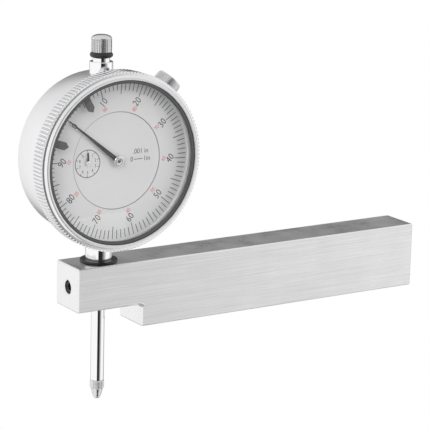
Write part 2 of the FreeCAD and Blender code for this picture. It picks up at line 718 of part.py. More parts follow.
def make_case():
    shoulder = bezel_back - face_gap
    groove_low, groove_high = groove_place - groove_width / 2, groove_place + groove_width / 2
    groove_foot = boss_radius - groove_depth
    case = turned("case_body", [
        (ledge_radius, -case_back), (case_radius, -case_back), (case_radius, shoulder),
        (boss_radius, shoulder), (boss_radius, groove_low), (groove_foot, groove_low),
        (groove_foot, groove_high), (boss_radius, groove_high), (boss_radius, boss_front),
        (case_bore, boss_front), (case_bore, plate_back), (ledge_radius, plate_back)])
    sketch = new_sketch(case, "XZ_Plane", "stem_seat")
    circle(sketch, stem_radius + seat_gap)
    pocket(case, sketch, reverse=True)
    sketch = new_sketch(case, "XZ_Plane", "sleeve_seat")
    circle(sketch, sleeve_radius + seat_gap)
    pocket(case, sketch)
    sketch = new_sketch(case, "XZ_Plane", "clamp_hole_case")
    sketch.AttachmentOffset = FreeCAD.Placement(V(), FreeCAD.Rotation(V(0, 1, 0), -knob_angle.value))
    sketch.setExpression(".AttachmentOffset.Rotation.Angle", (-knob_angle).text)
    circle(sketch, clamp_shank + running_gap, 0.0, knob_place)
    pocket(case, sketch)
    sketch = new_sketch(case, "XY_Plane", "cover_hole", -case_back)
    circle(sketch, screw_shank + seat_gap, *polar(cover_screw_ring, 45.0))
    around(case, pocket(case, sketch, screw_grip + face_gap, reverse=True), cover_screws)
    sketch = new_sketch(case, "XY_Plane", "plate_hole", plate_back)
    for angle in (0.0, 120.0, 240.0):
        circle(sketch, screw_shank + seat_gap, *polar(plate_screw_ring, angle))
    pocket(case, sketch, screw_grip)
    sketch = new_sketch(case, "XY_Plane", "shoe_hole", knob_place)
    circle(sketch, shoe_radius + running_gap, *polar(shoe_ring, 90.0 - knob_angle))
    pocket(case, sketch, reverse=True)
    on_dial(case)


def make_cover():
    face = -(case_back + cover_thick)
    cover = turned("back_cover", [
        (0.0, face), (cover_radius - cover_round, face), (cover_radius, face + cover_round),
        (cover_radius, -case_back),
        (ledge_radius - face_gap, -case_back), (ledge_radius - face_gap, cover_spigot - case_back),
        (0.0, cover_spigot - case_back)])
    sketch = new_sketch(cover, "XY_Plane", "cover_through", face)
    circle(sketch, screw_shank + seat_gap, *polar(cover_screw_ring, 45.0))
    around(cover, pocket(cover, sketch, reverse=True), cover_screws)
    sketch = new_sketch(cover, "XY_Plane", "head_seat", face)
    circle(sketch, screw_head + seat_gap, *polar(cover_screw_ring, 45.0))
    around(cover, pocket(cover, sketch, screw_sink, reverse=True), cover_screws)
    on_dial(cover)

    members = []
    for k in range(round(cover_screws.value)):
        across, up = polar(cover_screw_ring, 45.0 + 360.0 / cover_screws * k)
        head = on_dial(rod("cover_head", screw_head, screw_sink), across, up, face)
        shank = on_dial(rod("cover_shank", screw_shank, cover_thick - screw_sink + screw_grip),
                        across, up, face + screw_sink)
        members.append(joined_piece("Part::MultiFuse", "cover_screw_%d" % (k + 1), [head, shank]))
    joined_piece("Part::Compound", "cover_screws", members)


# ---- bezel, crystal, dials and tolerance hands ---------------------------------------------

def make_bezel():
    groove_low, groove_high = groove_place - groove_width / 2, groove_place + groove_width / 2
    boss_bore = boss_radius + face_gap
    plain = bezel_radius - bezel_step
    front_outer = plain - bezel_slope
    bezel = turned("bezel", [
        (boss_bore, bezel_back), (bezel_radius, bezel_back), (bezel_radius, knurl_front),
        (plain, knurl_front), (plain, bezel_front - bezel_slope), (front_outer, bezel_front),
        (window_radius, bezel_front), (window_radius, crystal_back), (dial_seat, crystal_back),
        (dial_seat, outer_dial_back), (boss_bore, outer_dial_back), (boss_bore, groove_high),
        (boss_bore + groove_depth, groove_high), (boss_bore + groove_depth, groove_low),
        (boss_bore, groove_low)])
    flutes(bezel, bezel_radius, knurl_depth, knurl_teeth, bezel_back, knurl_front, "knurl", 0.8)
    crystal_front = crystal_back + crystal_thick
    crystal = ring("crystal", 0.0, window_radius - face_gap, crystal_back, crystal_front)
    seal = ring("crystal_seal", seal_bore, window_radius - seat_gap, crystal_front,
                crystal_front + seal_thick)
    outer = ring("outer_dial", inner_dial_radius + dial_gap, dial_seat - face_gap, outer_dial_back,
                 outer_dial_back + dial_thick)
    for piece in (bezel, crystal, seal, outer):
        on_dial(piece)
    middle = boss_radius + face_gap / 2
    snap = ring("bezel_spring", middle - spring_tube, middle + spring_tube,
                groove_place - spring_tube, groove_place + spring_tube)
    split = new_sketch(snap, "XY_Plane", "spring_split", groove_place - spring_tube)
    outline(split, [(-1.0, middle - 1.0), (1.0, middle - 1.0), (1.0, middle + 1.0), (-1.0, middle + 1.0)])
    pocket(snap, split, spring_tube * 2, reverse=True)
    on_dial(snap)


def make_tolerance_hands():
    """Two friction rings under the crystal, each with a pointed tab."""
    outside = dial_seat - face_gap
    half = limit_width / 2
    heel = limit_ring + 0.3
    for label, sign, back in (("lower_tolerance_hand", 1.0, limit_back),
                              ("upper_tolerance_hand", -1.0, limit_back + limit_thick + face_gap)):
        hand = ring(label, limit_ring, outside, 0.0, limit_thick)
        angle = pointer_angle + sign * limit_angle
        sketch = new_sketch(hand, "XY_Plane", label + "_tab")
        outline(sketch, [strip_point(heel, half, angle), strip_point(limit_reach + half, half, angle),
                         strip_point(limit_reach, 0.0, angle),
                         strip_point(limit_reach + half, -half, angle), strip_point(heel, -half, angle)])
        pad(hand, sketch, limit_thick)
        on_dial(hand, 0.0, 0.0, back)


def make_inner_dial():
    dial = ring("inner_dial", arbor_radius, inner_dial_radius, inner_dial_back,
                inner_dial_back + dial_thick)
    bridge_front = bridge_back + plate_thick
    sketch = new_sketch(dial, "XY_Plane", "dial_feet", bridge_front)
    for angle in (60.0, 240.0):
        circle(sketch, foot_radius, *polar(foot_ring, angle))
    pad(dial, sketch, inner_dial_back - bridge_front)
    holes(dial, [(counter_x, counter_y)], arbor_radius, "counter_hole")
    on_dial(dial)


# ---- bezel clamp ----------------------------------------------------------------------------

def make_clamp():
    """Knurled screw in the side of the case; its cone drives a small shoe against the bezel."""
    knob_top = knob_foot + knob_thick
    knob = turned("bezel_clamp_screw", [
        (0.0, clamp_tip), (clamp_shank - edge_break * 2, clamp_tip),
        (clamp_shank, clamp_tip + edge_break * 2), (clamp_shank, knob_foot), (knob_radius, knob_foot),
        (knob_radius, knob_top - edge_break), (knob_radius - edge_break, knob_top), (0.0, knob_top)])
    flutes(knob, knob_radius, edge_break * 0.75, knob_flutes, knob_foot, knob_top - edge_break,
           "knob_flutes_cut")
    place(knob, stem_x, -knob_place, dial_height, "radial", knob_angle)
    across, up = polar(shoe_ring, 90.0 - knob_angle)
    low = knob_place + clamp_shank + running_gap
    shoe = rod("clamp_shoe", shoe_radius, bezel_back - face_gap - low)
    shoe.Label = "clamp_shoe"
    on_dial(shoe, across, up, low)


# ---- movement ---------------------------------------------------------------------------------

ARBOR_SPOTS = {"drive": (drive_x, drive_y), "centre": (as_size(0.0), as_size(0.0)),
               "counter": (counter_x, counter_y), "takeup": (takeup_x, takeup_y)}
PILLAR_ANGLES = (90.0, -40.0, 215.0)
PLATE_SCREW_ANGLES = (0.0, 120.0, 240.0)
bridge_front = bridge_back + plate_thick
plate_front = plate_back + plate_thick


def make_plates():
    plate = ring("movement_plate", 0.0, plate_radius, plate_back, plate_front)
    seats = [ARBOR_SPOTS[name] for name in ("centre", "counter", "takeup")]
    holes(plate, seats, jewel_radius + seat_gap, "plate_jewel_seats")
    holes(plate, [ARBOR_SPOTS["drive"]], arbor_radius + face_gap, "drive_hole")
    spots = [polar(plate_screw_ring, angle) for angle in PLATE_SCREW_ANGLES]
    holes(plate, spots, screw_shank + seat_gap, "plate_screw_holes")
    on_dial(plate)

    bridge = ring("front_bridge", 0.0, bridge_radius, bridge_back, bridge_front)
    holes(bridge, ARBOR_SPOTS.values(), jewel_radius + seat_gap, "bridge_jewel_seats")
    spots = [polar(pillar_ring, angle) for angle in PILLAR_ANGLES]
    holes(bridge, spots, screw_shank + seat_gap, "bridge_screw_holes")
    on_dial(bridge)

    rear = new_body("rear_bridge")
    rear_front = plate_thick - rear_bridge_back
    sketch = new_sketch(rear, "XY_Plane", "rear_strap", -rear_bridge_back)
    left, right = -(rear_leg_across + rear_leg_radius + 0.3), drive_x + jewel_radius + 0.3
    low, high = drive_y - rear_leg_spread - 1.5, drive_y + rear_leg_spread + 1.5
    outline(sketch, [(left, low), (right - 1.2, low), (right, low + 1.2), (right, high - 1.2),
                     (right - 1.2, high), (left, high)])
    pad(rear, sketch, plate_thick)
    sketch = new_sketch(rear, "XY_Plane", "rear_legs", rear_front)
    for sign in (-1.0, 1.0):
        circle(sketch, rear_leg_radius, -rear_leg_across, drive_y + sign * rear_leg_spread)
    pad(rear, sketch, plate_back - rear_front)
    sketch = new_sketch(rear, "XY_Plane", "rear_jewel_seat", rear_front)
    circle(sketch, jewel_radius + seat_gap, drive_x, drive_y)
    pocket(rear, sketch)
    on_dial(rear)


def make_jewels():
    """Pierced bearing stones pressed into plate, bridge and rear bridge."""
    seats = [(name, plate_back) for name in ("centre", "counter", "takeup")]
    seats += [(name, bridge_back) for name in ARBOR_SPOTS]
    seats.append(("drive", -rear_bridge_back))
    stones = []
    for name, low in seats:
        stone = rod("stone", jewel_radius, plate_thick)
        eye = rod("eye", pivot_radius + running_gap, plate_thick)
        pierced = DOC.addObject("Part::Cut", "jewel_" + name)
        pierced.Base, pierced.Tool = stone, eye
        on_dial(pierced, *ARBOR_SPOTS[name], low)
        stones.append(pierced)
    joined_piece("Part::Compound", "bearing_jewels", stones)


def small_screws(label, spots, under_head, grip):
    """Cheese-head screws seen from the front."""
    members = []
    for k, (across, up) in enumerate(spots):
        head = on_dial(rod("head", small_head, small_head_height), across, up, under_head)
        shank = on_dial(rod("shank", screw_shank, grip), across, up, under_head - grip)
        members.append(joined_piece("Part::MultiFuse", "%s_%d" % (label, k + 1), [head, shank]))
    joined_piece("Part::Compound", label, members)


def make_posts():
    height = bridge_back - plate_front
    grip = plate_thick + height / 2
    members = []
    for k, angle in enumerate(PILLAR_ANGLES):
        across, up = polar(pillar_ring, angle)
        post = rod("post", pillar_radius, height)
        thread = place(rod("thread", screw_shank + seat_gap, height), 0.0, 0.0, height / 2 - face_gap)
        pillar = DOC.addObject("Part::Cut", "pillar_%d" % (k + 1))
        pillar.Base, pillar.Tool = post, thread
        members.append(on_dial(pillar, across, up, plate_front))
    joined_piece("Part::Compound", "pillars", members)
    small_screws("bridge_screws", [polar(pillar_ring, angle) for angle in PILLAR_ANGLES],
                 bridge_front, grip)
    small_screws("plate_screws", [polar(plate_screw_ring, angle) for angle in PLATE_SCREW_ANGLES],
                 plate_front, plate_thick + screw_grip - face_gap)


def make_guide():
    """Slotted rail that keeps the spindle from turning, and the post of the return spring."""
    rail = new_body("guide_rail")
    slot_half = pin_radius + slot_play
    slot_low = -pin_drop - slot_half - face_gap
    slot_high = travel - pin_drop + slot_half + face_gap
    sketch = new_sketch(rail, "YZ_Plane", "rail_side", rail_across)
    outline(sketch, [(slot_low - rail_margin, -rail_back), (slot_high + rail_margin, -rail_back),
                     (slot_high + rail_margin, plate_back), (slot_low - rail_margin, plate_back)])
    outline(sketch, [(slot_low, -slot_half), (slot_high, -slot_half), (slot_high, slot_half),
                     (slot_low, slot_half)])
    pad(rail, sketch, rail_thick)
    on_dial(rail)
    post = on_dial(rod("spring_post", post_radius, plate_back + coil_radius), coil_across, -post_drop,
                   -coil_radius)
    post.Label = "spring_post"


def make_gears():
    """The train: rack pinion and main gear, centre pinion, counter pair, take-up gear."""
    to_centre = bearing(-drive_x, -drive_y)
    to_counter = bearing(counter_x - drive_x, counter_y - drive_y)
    centre_gap = to_centre + 180.0 - 180.0 / centre_teeth
    lead = (centre_gap - takeup_angle) * centre_teeth / takeup_teeth
    takeup_gap = takeup_angle + 180.0 - 180.0 / takeup_teeth - lead
    counter_gap = to_counter + 180.0 - 180.0 / counter_teeth
    bore = arbor_radius + seat_gap
    train = [
        ("rack_pinion", "drive", rack_teeth, rack_module, as_size(0.0), -pinion_face / 2, pinion_face),
        ("main_gear", "drive", main_teeth, fine_module, to_centre, gear_back, gear_thick),
        ("counter_pinion", "drive", counter_pinion_teeth, counter_module, to_counter, counter_back,
         gear_thick),
        ("centre_pinion", "centre", centre_teeth, fine_module, centre_gap, gear_back - face_gap,
         gear_thick + face_gap * 2),
        ("counter_gear", "counter", counter_teeth, counter_module, counter_gap, counter_back,
         gear_thick),
        ("takeup_gear", "takeup", takeup_teeth, fine_module, takeup_gap, gear_back, gear_thick),
    ]
    for label, spot, count, module, gap_at, back, thick in train:
        gear = toothed(label, count, module, gap_at, bore, thick)
        on_dial(gear, *ARBOR_SPOTS[spot], back)


def make_arbors():
    """Stepped arbors; those of the hands reach through the dial."""
    low_shoulder, high_shoulder = plate_front + face_gap, bridge_back - face_gap
    rear_shoulder = plate_thick - rear_bridge_back + face_gap
    reach = {
        "drive": (-rear_bridge_back + face_gap, rear_shoulder, bridge_front - face_gap),
        "centre": (plate_back + face_gap, low_shoulder, hub_front - face_gap),
        "counter": (plate_back + face_gap, low_shoulder, counter_hand_back + hand_thick + face_gap),
        "takeup": (plate_back + face_gap, low_shoulder, bridge_front - face_gap),
    }
    for name, (low, shoulder, high) in reach.items():
        arbor = turned(name + "_arbor", [
            (0.0, low), (pivot_radius, low), (pivot_radius, shoulder), (arbor_radius, shoulder),
            (arbor_radius, high_shoulder), (pivot_radius, high_shoulder), (pivot_radius, high),
            (0.0, high)])
        on_dial(arbor, *ARBOR_SPOTS[name])


def make_hands():
    bore = pivot_radius + seat_gap
    pointer = ring("pointer", bore, hub_radius - face_gap * 2, 0.0, hand_thick)
    sketch = new_sketch(pointer, "XY_Plane", "needle")
    heel, point, tail = pointer_width / 2, pointer_point / 2, pointer_width / 3
    outline(sketch, [strip_point(hub_radius / 2, heel, pointer_angle),
                     strip_point(hub_radius / 2, -heel, pointer_angle),
                     strip_point(pointer_length, -point, pointer_angle),
                     strip_point(pointer_length, point, pointer_angle)])
    pad(pointer, sketch, hand_thick)
    sketch = new_sketch(pointer, "XY_Plane", "tail")
    outline(sketch, [strip_point(-hub_radius / 2, -heel, pointer_angle),
                     strip_point(-hub_radius / 2, heel, pointer_angle),
                     strip_point(-pointer_tail, tail, pointer_angle),
                     strip_point(-pointer_tail, -tail, pointer_angle)])
    pad(pointer, sketch, hand_thick)
    on_dial(pointer, 0.0, 0.0, pointer_back)
    pointer_front = pointer_back + hand_thick
    hub = turned("pointer_hub", [
        (bore, pointer_front), (hub_radius, pointer_front), (hub_radius, hub_front - 0.2),
        (hub_radius - 0.2, hub_front), (bore, hub_front)])
    on_dial(hub)
    hand = ring("counter_hand", bore, counter_hub, 0.0, hand_thick)
    sketch = new_sketch(hand, "XY_Plane", "counter_needle")
    half, tip = counter_hand_width / 2, counter_hand_width / 6
    outline(sketch, [(-half, counter_hub * 0.7), (half, counter_hub * 0.7),
                     (tip, counter_hand_length), (-tip, counter_hand_length)])
    pad(hand, sketch, hand_thick)
    on_dial(hand, counter_x, counter_y, counter_hand_back)


def make_springs():
    """Return spring, stretched by the guide pin, and the hairspring that takes up the backlash."""
    low = dial_height - post_drop + post_radius + coil_wire + face_gap
    high = dial_height - pin_drop - pin_radius - coil_wire - face_gap
    length = (high - low).value
    steps = 12
    corners = []
    for k in range(steps * round(coil_turns.value) + 1):
        angle = 2 * math.pi * k / steps
        rise = length * k / (steps * round(coil_turns.value))
        corners.append(V(coil_radius.value * math.cos(angle), coil_radius.value * math.sin(angle), rise))
    path = Part.makePolygon(corners)
    half = coil_wire.value
    middle = V(coil_radius.value, 0, 0)
    section = Part.makePolygon([middle + V(half, 0, 0), middle + V(0, 0, half),
                                middle + V(-half, 0, 0), middle + V(0, 0, -half),
                                middle + V(half, 0, 0)])
    coil = DOC.addObject("Part::Feature", "return_spring")
    coil.Label = "return_spring"
    coil.Shape = path.makePipeShell([section], True, True, 1)
    place(coil, stem_x + coil_across, 0.0, low)

    grow = (hair_outer - hair_inner).value / hair_turns.value
    spiral = DOC.addObject("Part::Feature", "hairspring")
    spiral.Label = "hairspring"
    steps = 16 * round(hair_turns.value)
    points = []
    for side in (0.0, hair_thick.value):
        walk = []
        for k in range(steps + 1):
            angle = 2 * math.pi * k / 16
            radius = hair_inner.value + grow * k / 16 + side
            walk.append(V(radius * math.cos(angle), radius * math.sin(angle), 0))
        points.append(walk)
    ribbon = Part.Face(Part.makePolygon(points[0] + points[1][::-1] + points[0][:1]))
    spiral.Shape = ribbon.extrude(V(0, 0, hair_width.value))
    on_dial(spiral, takeup_x, takeup_y, hair_back)
    collet = ring("hairspring_collet", arbor_radius + seat_gap, hair_inner - face_gap, 0.0, hair_width)
    on_dial(collet, takeup_x, takeup_y, hair_back)
    stud = rod("hairspring_stud", screw_shank, bridge_back - hair_back)
    stud.Label = "hairspring_stud"
    on_dial(stud, takeup_x + hair_outer + hair_thick + screw_shank, takeup_y, hair_back)


# ---- build, check and write ----------------------------------------------------------------------

PIECES = [
    "holder_bar", "stem_screw", "stem_ring", "stem", "stem_bush", "top_sleeve", "sleeve_bush",
    "case_body", "back_cover", "cover_screws", "bezel_clamp_screw", "clamp_shoe", "bezel",
    "bezel_spring", "crystal", "crystal_seal", "outer_dial", "lower_tolerance_hand",
    "upper_tolerance_hand", "inner_dial", "pointer", "pointer_hub", "counter_hand",
    "movement_plate", "front_bridge", "rear_bridge", "pillars", "bridge_screws", "plate_screws",
    "bearing_jewels", "guide_rail", "spring_post", "rack_spindle", "guide_pin", "contact_point",
    "lift_cap", "cap_cushion", "rack_pinion", "main_gear", "counter_pinion", "centre_pinion",
    "counter_gear", "takeup_gear", "drive_arbor", "centre_arbor", "counter_arbor", "takeup_arbor",
    "return_spring", "hairspring", "hairspring_collet", "hairspring_stud",
]


def main():
    for make in (make_bar, make_stem_screw, make_stem, make_plunger, make_contact_point, make_cap,
                 make_case, make_cover, make_bezel, make_tolerance_hands, make_inner_dial, make_clamp,
                 make_plates, make_jewels, make_posts, make_guide, make_gears, make_arbors,
                 make_hands, make_springs):
        make()
    DOC.recompute()
    for item in DOC.Objects:
        if "Invalid" in item.State or "Error" in item.State:
            raise RuntimeError("%s (%s) did not build" % (item.Label, item.TypeId))
    pieces = []
    for label in PIECES:
        found = [item for item in DOC.Objects if item.Label == label]
        if len(found) != 1 or found[0].Shape.isNull() or not found[0].Shape.isValid():
            raise RuntimeError(label + " has no valid shape of its own")
        pieces.append(found[0])
    os.makedirs("parts", exist_ok=True)
    for piece in pieces:
        piece.Shape.exportStep("parts/%s.step" % piece.Label)
        print("%-22s %2d solids %9.2f mm3" % (piece.Label, len(piece.Shape.Solids), piece.Shape.Volume))


main()
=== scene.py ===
import math

import bmesh
import bpy
from mathutils import Matrix, Vector


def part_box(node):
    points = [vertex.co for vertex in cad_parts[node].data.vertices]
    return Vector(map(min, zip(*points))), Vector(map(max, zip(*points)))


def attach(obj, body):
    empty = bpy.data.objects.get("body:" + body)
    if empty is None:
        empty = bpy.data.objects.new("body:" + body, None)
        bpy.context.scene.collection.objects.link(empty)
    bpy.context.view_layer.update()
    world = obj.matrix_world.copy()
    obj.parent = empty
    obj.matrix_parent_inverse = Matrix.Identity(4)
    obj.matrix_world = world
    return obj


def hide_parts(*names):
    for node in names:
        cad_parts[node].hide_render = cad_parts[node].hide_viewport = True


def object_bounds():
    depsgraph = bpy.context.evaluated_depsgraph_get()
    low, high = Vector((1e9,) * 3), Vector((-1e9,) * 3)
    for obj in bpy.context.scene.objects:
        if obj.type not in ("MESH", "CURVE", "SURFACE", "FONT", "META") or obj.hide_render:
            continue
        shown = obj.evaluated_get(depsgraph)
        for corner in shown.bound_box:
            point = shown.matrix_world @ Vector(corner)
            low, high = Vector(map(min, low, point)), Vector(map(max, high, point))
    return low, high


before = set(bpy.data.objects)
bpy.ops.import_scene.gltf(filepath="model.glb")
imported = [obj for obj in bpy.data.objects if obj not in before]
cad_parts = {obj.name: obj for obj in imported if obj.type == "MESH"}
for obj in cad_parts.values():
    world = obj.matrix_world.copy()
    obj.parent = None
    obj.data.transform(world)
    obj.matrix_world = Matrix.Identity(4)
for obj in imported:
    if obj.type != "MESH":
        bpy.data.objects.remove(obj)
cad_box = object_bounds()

bl_info = {
    "name": "Dial indicator on a gauge bar",
    "version": (1, 0, 0),
    "blender": (4, 5, 0),
    "location": "3D View > Sidebar > Indicator",
    "description": "Dresses the packed dial indicator with turned, knurled and printed pieces",
    "category": "Add Mesh",
}

MM = 0.001
TURN_STEPS = 160
SMOOTH_STEPS = 224
BEZEL_STEPS = 292
HOLE_STEPS = 64
EASE_STEPS = 3
SHARP = math.radians(32)
FILM_SCALE = 90.0

# Lengths in mm.
PRINT_RISE = 0.02
STEM_BORE = 4.7725
SLEEVE_BORE = 4.11
KNOB_BORE = 1.53
KNOB_BACK = 4.0
COVER_SCREW_RING = 26.0
MARK_REACH = 27.4
NUMERAL_RING = 21.2
RED_NUMERAL_RING = 18.6
COUNTER_NUMERAL_RING = 3.15
TAB_LEAN = math.radians(20.0)


# ---- places read from the frame ------------------------------------------------------

def middle_of(node):
    """Middle of a CAD node's box, in mm."""
    low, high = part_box(node)
    return (low + high) / 2 / MM


def reach_of(node):
    """Lowest and highest corner of a CAD node, in mm."""
    low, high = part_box(node)
    return low / MM, high / MM


def radius_of(node):
    """Radius of a round CAD node, from its reach along X, in mm."""
    low, high = reach_of(node)
    return (high.x - low.x) / 2


def round_reach(node):
    """Radius, back and front of a round CAD node seen on the dial, in mm."""
    low, high = reach_of(node)
    return radius_of(node), -high.y, -low.y


AXIS_X = middle_of("stem").x
DIAL_Z = middle_of("bezel").z
BAR_TOP = reach_of("holder_bar")[1].z


def on_axis():
    """Frame of a piece that stands on the spindle axis; its heights are heights in the row."""
    return Matrix.Translation((AXIS_X, 0.0, 0.0))


def on_dial(across=0.0, up=0.0):
    """Frame of a piece seen on the dial: X right, Y up, Z towards the reader."""
    columns = ((1.0, 0.0, 0.0, AXIS_X + across), (0.0, 0.0, -1.0, 0.0), (0.0, 1.0, 0.0, DIAL_Z + up),
               (0.0, 0.0, 0.0, 1.0))
    return Matrix(columns)


def knob_frame():
    """Frame of the bezel clamp, whose Z axis leaves the case up and to the right."""
    turn = Vector((1.0, 0.0, 1.0)).to_track_quat("Z", "Y").to_matrix().to_4x4()
    return Matrix.Translation((AXIS_X, -KNOB_BACK, DIAL_Z)) @ turn


def counter_frame():
    """Frame of the revolution counter beside the dial's middle."""
    counter = middle_of("counter_arbor")
    return on_dial(counter.x - AXIS_X, counter.z - DIAL_Z)


# ---- sizes and colours that a user would change ----------------------------------------

def colour(name, words, value):
    """Colour property with its default."""
    return bpy.props.FloatVectorProperty(name=name, description=words, default=value, size=3,
                                         min=0.0, max=1.0, subtype="COLOR")


def length(name, words, value):
    """Length property in metres, given in mm."""
    return bpy.props.FloatProperty(name=name, description=words, default=value * MM, precision=5,
                                   min=0.0, subtype="DISTANCE", unit="LENGTH")


def count(name, words, value):
    """Whole-number property."""
    return bpy.props.IntProperty(name=name, description=words, default=value, min=3)


class BarSettings(bpy.types.PropertyGroup):
    metal: colour("Bar metal", "Colour of the drawn bar", (0.80, 0.80, 0.80))
    line_width: length("Line width", "Spacing of the drawn lines on the bar", 0.16)


class CaseSettings(bpy.types.PropertyGroup):
    metal: colour("Case metal", "Colour of the satin case", (0.80, 0.80, 0.81))
    bezel_ribs: count("Bezel ribs", "Ribs of the bezel's straight knurl", 146)
    rib_height: length("Rib height", "Height of the bezel's ribs", 0.5)
    knob_ribs: count("Knob ribs", "Ribs of the bezel clamp knob", 36)


class DialSettings(bpy.types.PropertyGroup):
    face: colour("Dial", "Colour of the silvered dial", (0.62, 0.62, 0.625))
    ink: colour("Ink", "Colour of marks and numerals", (0.015, 0.015, 0.016))
    red: colour("Red ink", "Colour of the reversed numerals", (0.62, 0.09, 0.08))
    marks: count("Marks", "Divisions of the outer scale", 100)
    numeral: length("Numerals", "Height of the outer numerals", 2.6)
    red_numeral: length("Red numerals", "Height of the reversed numerals", 1.5)
    zero_turn: bpy.props.FloatProperty(name="Zero", description="Turn of the scale's zero, from the top",
                                       default=math.radians(51.0), subtype="ANGLE", unit="ROTATION")


class PlungerSettings(bpy.types.PropertyGroup):
    ribs: count("Cap ribs", "Ribs round the lifting cap", 32)
    chrome: colour("Chrome", "Colour of the bright plated metal", (0.86, 0.86, 0.87))


class StudioSettings(bpy.types.PropertyGroup):
    tent: bpy.props.FloatProperty(name="Light tent", description="Strength of the light tent", default=1.0,
                                  min=0.0)
    key: bpy.props.FloatProperty(name="Key light", description="Power of the key light", default=2.0,
                                 min=0.0, unit="POWER")
    lens: bpy.props.FloatProperty(name="Lens", description="Focal length in mm", default=183.61, min=10.0)


# ---- shader groups -------------------------------------------------------------------

def add(tree, kind, feeds=None, values=None, **settings):
    """One node with its settings, its values and the sockets that feed it."""
    made = tree.nodes.new(kind)
    for key, value in settings.items():
        setattr(made, key, value)
    for socket, value in (values or {}).items():
        made.inputs[socket].default_value = value
    for socket, source in (feeds or {}).items():
        tree.links.new(source, made.inputs[socket])
    return made


def shader_group(name, inputs, outputs):
    """Empty shader group with named inputs (name, kind, default) and outputs (name, kind)."""
    tree = bpy.data.node_groups.new(name, "ShaderNodeTree")
    for label, kind, default in inputs:
        socket = tree.interface.new_socket(name=label, in_out="INPUT", socket_type=kind)
        if default is not None:
            socket.default_value = default
    for label, kind in outputs:
        tree.interface.new_socket(name=label, in_out="OUTPUT", socket_type=kind)
    return tree, tree.nodes.new("NodeGroupInput"), tree.nodes.new("NodeGroupOutput")


def drawn_lines_group():
    """Long fine lines, as drawing, grinding or turning leaves them."""
    tree, given, out = shader_group(
        "Drawn lines",
        [("Vector", "NodeSocketVector", None), ("Stretch", "NodeSocketVector", (1.0, 1.0, 1.0)),
         ("Contrast", "NodeSocketFloat", 1.0)],
        [("Lines", "NodeSocketFloat")])
    spread = add(tree, "ShaderNodeVectorMath", {0: given.outputs["Vector"], 1: given.outputs["Stretch"]},
                 operation="MULTIPLY")
    noise = add(tree, "ShaderNodeTexNoise", {"Vector": spread.outputs[0]},
                {"Scale": 1.0, "Detail": 3.0, "Roughness": 0.65})
    centred = add(tree, "ShaderNodeMath", {0: noise.outputs["Fac"]}, {1: 0.5}, operation="SUBTRACT")
    scaled = add(tree, "ShaderNodeMath", {0: centred.outputs[0], 1: given.outputs["Contrast"]},
                 operation="MULTIPLY")
    back = add(tree, "ShaderNodeMath", {0: scaled.outputs[0]}, {1: 0.5}, operation="ADD", use_clamp=True)
    tree.links.new(back.outputs[0], out.inputs["Lines"])
    return tree


def worn_edge_group():
    """Mask that is 1 on edges within a radius and 0 on open faces."""
    tree, given, out = shader_group("Painted edge highlight", [("Radius", "NodeSocketFloat", 0.0002)],
                                    [("Edge", "NodeSocketFloat")])
    round_normal = add(tree, "ShaderNodeBevel", {"Radius": given.outputs["Radius"]}, samples=4)
    flat_normal = add(tree, "ShaderNodeNewGeometry")
    match = add(tree, "ShaderNodeVectorMath",
                {0: round_normal.outputs["Normal"], 1: flat_normal.outputs["Normal"]},
                operation="DOT_PRODUCT")
    edge = add(tree, "ShaderNodeMapRange", {"Value": match.outputs["Value"]},
               {"From Min": 1.0, "From Max": 0.85, "To Min": 0.0, "To Max": 1.0})
    tree.links.new(edge.outputs[0], out.inputs["Edge"])
    return tree


def film_group():
    """Soft cloudy film left by handling, 0 to 1."""
    tree, given, out = shader_group(
        "Handling film", [("Vector", "NodeSocketVector", None), ("Scale", "NodeSocketFloat", 80.0)],
        [("Film", "NodeSocketFloat")])
    noise = add(tree, "ShaderNodeTexNoise",
                {"Vector": given.outputs["Vector"], "Scale": given.outputs["Scale"]},
                {"Detail": 5.0, "Roughness": 0.6})
    film = add(tree, "ShaderNodeMapRange", {"Value": noise.outputs["Fac"]},
               {"From Min": 0.35, "From Max": 0.68, "To Min": 0.0, "To Max": 1.0})
    tree.links.new(film.outputs[0], out.inputs["Film"])
    return tree


GROUPS = {}


def group_node(tree, name, feeds=None, values=None):
    """One of the shared shader groups, placed in a material."""
    makers = {"lines": drawn_lines_group, "edge": worn_edge_group, "film": film_group}
    if name not in GROUPS:
        GROUPS[name] = makers[name]()
    return add(tree, "ShaderNodeGroup", feeds, values, node_tree=GROUPS[name])


# ---- materials -----------------------------------------------------------------------

def blank_material(name):
    """New material with an empty tree and its output."""
    made = bpy.data.materials.new(name)
    made.use_nodes = True
    tree = made.node_tree
    tree.nodes.clear()
    return made, tree, tree.nodes.new("ShaderNodeOutputMaterial")


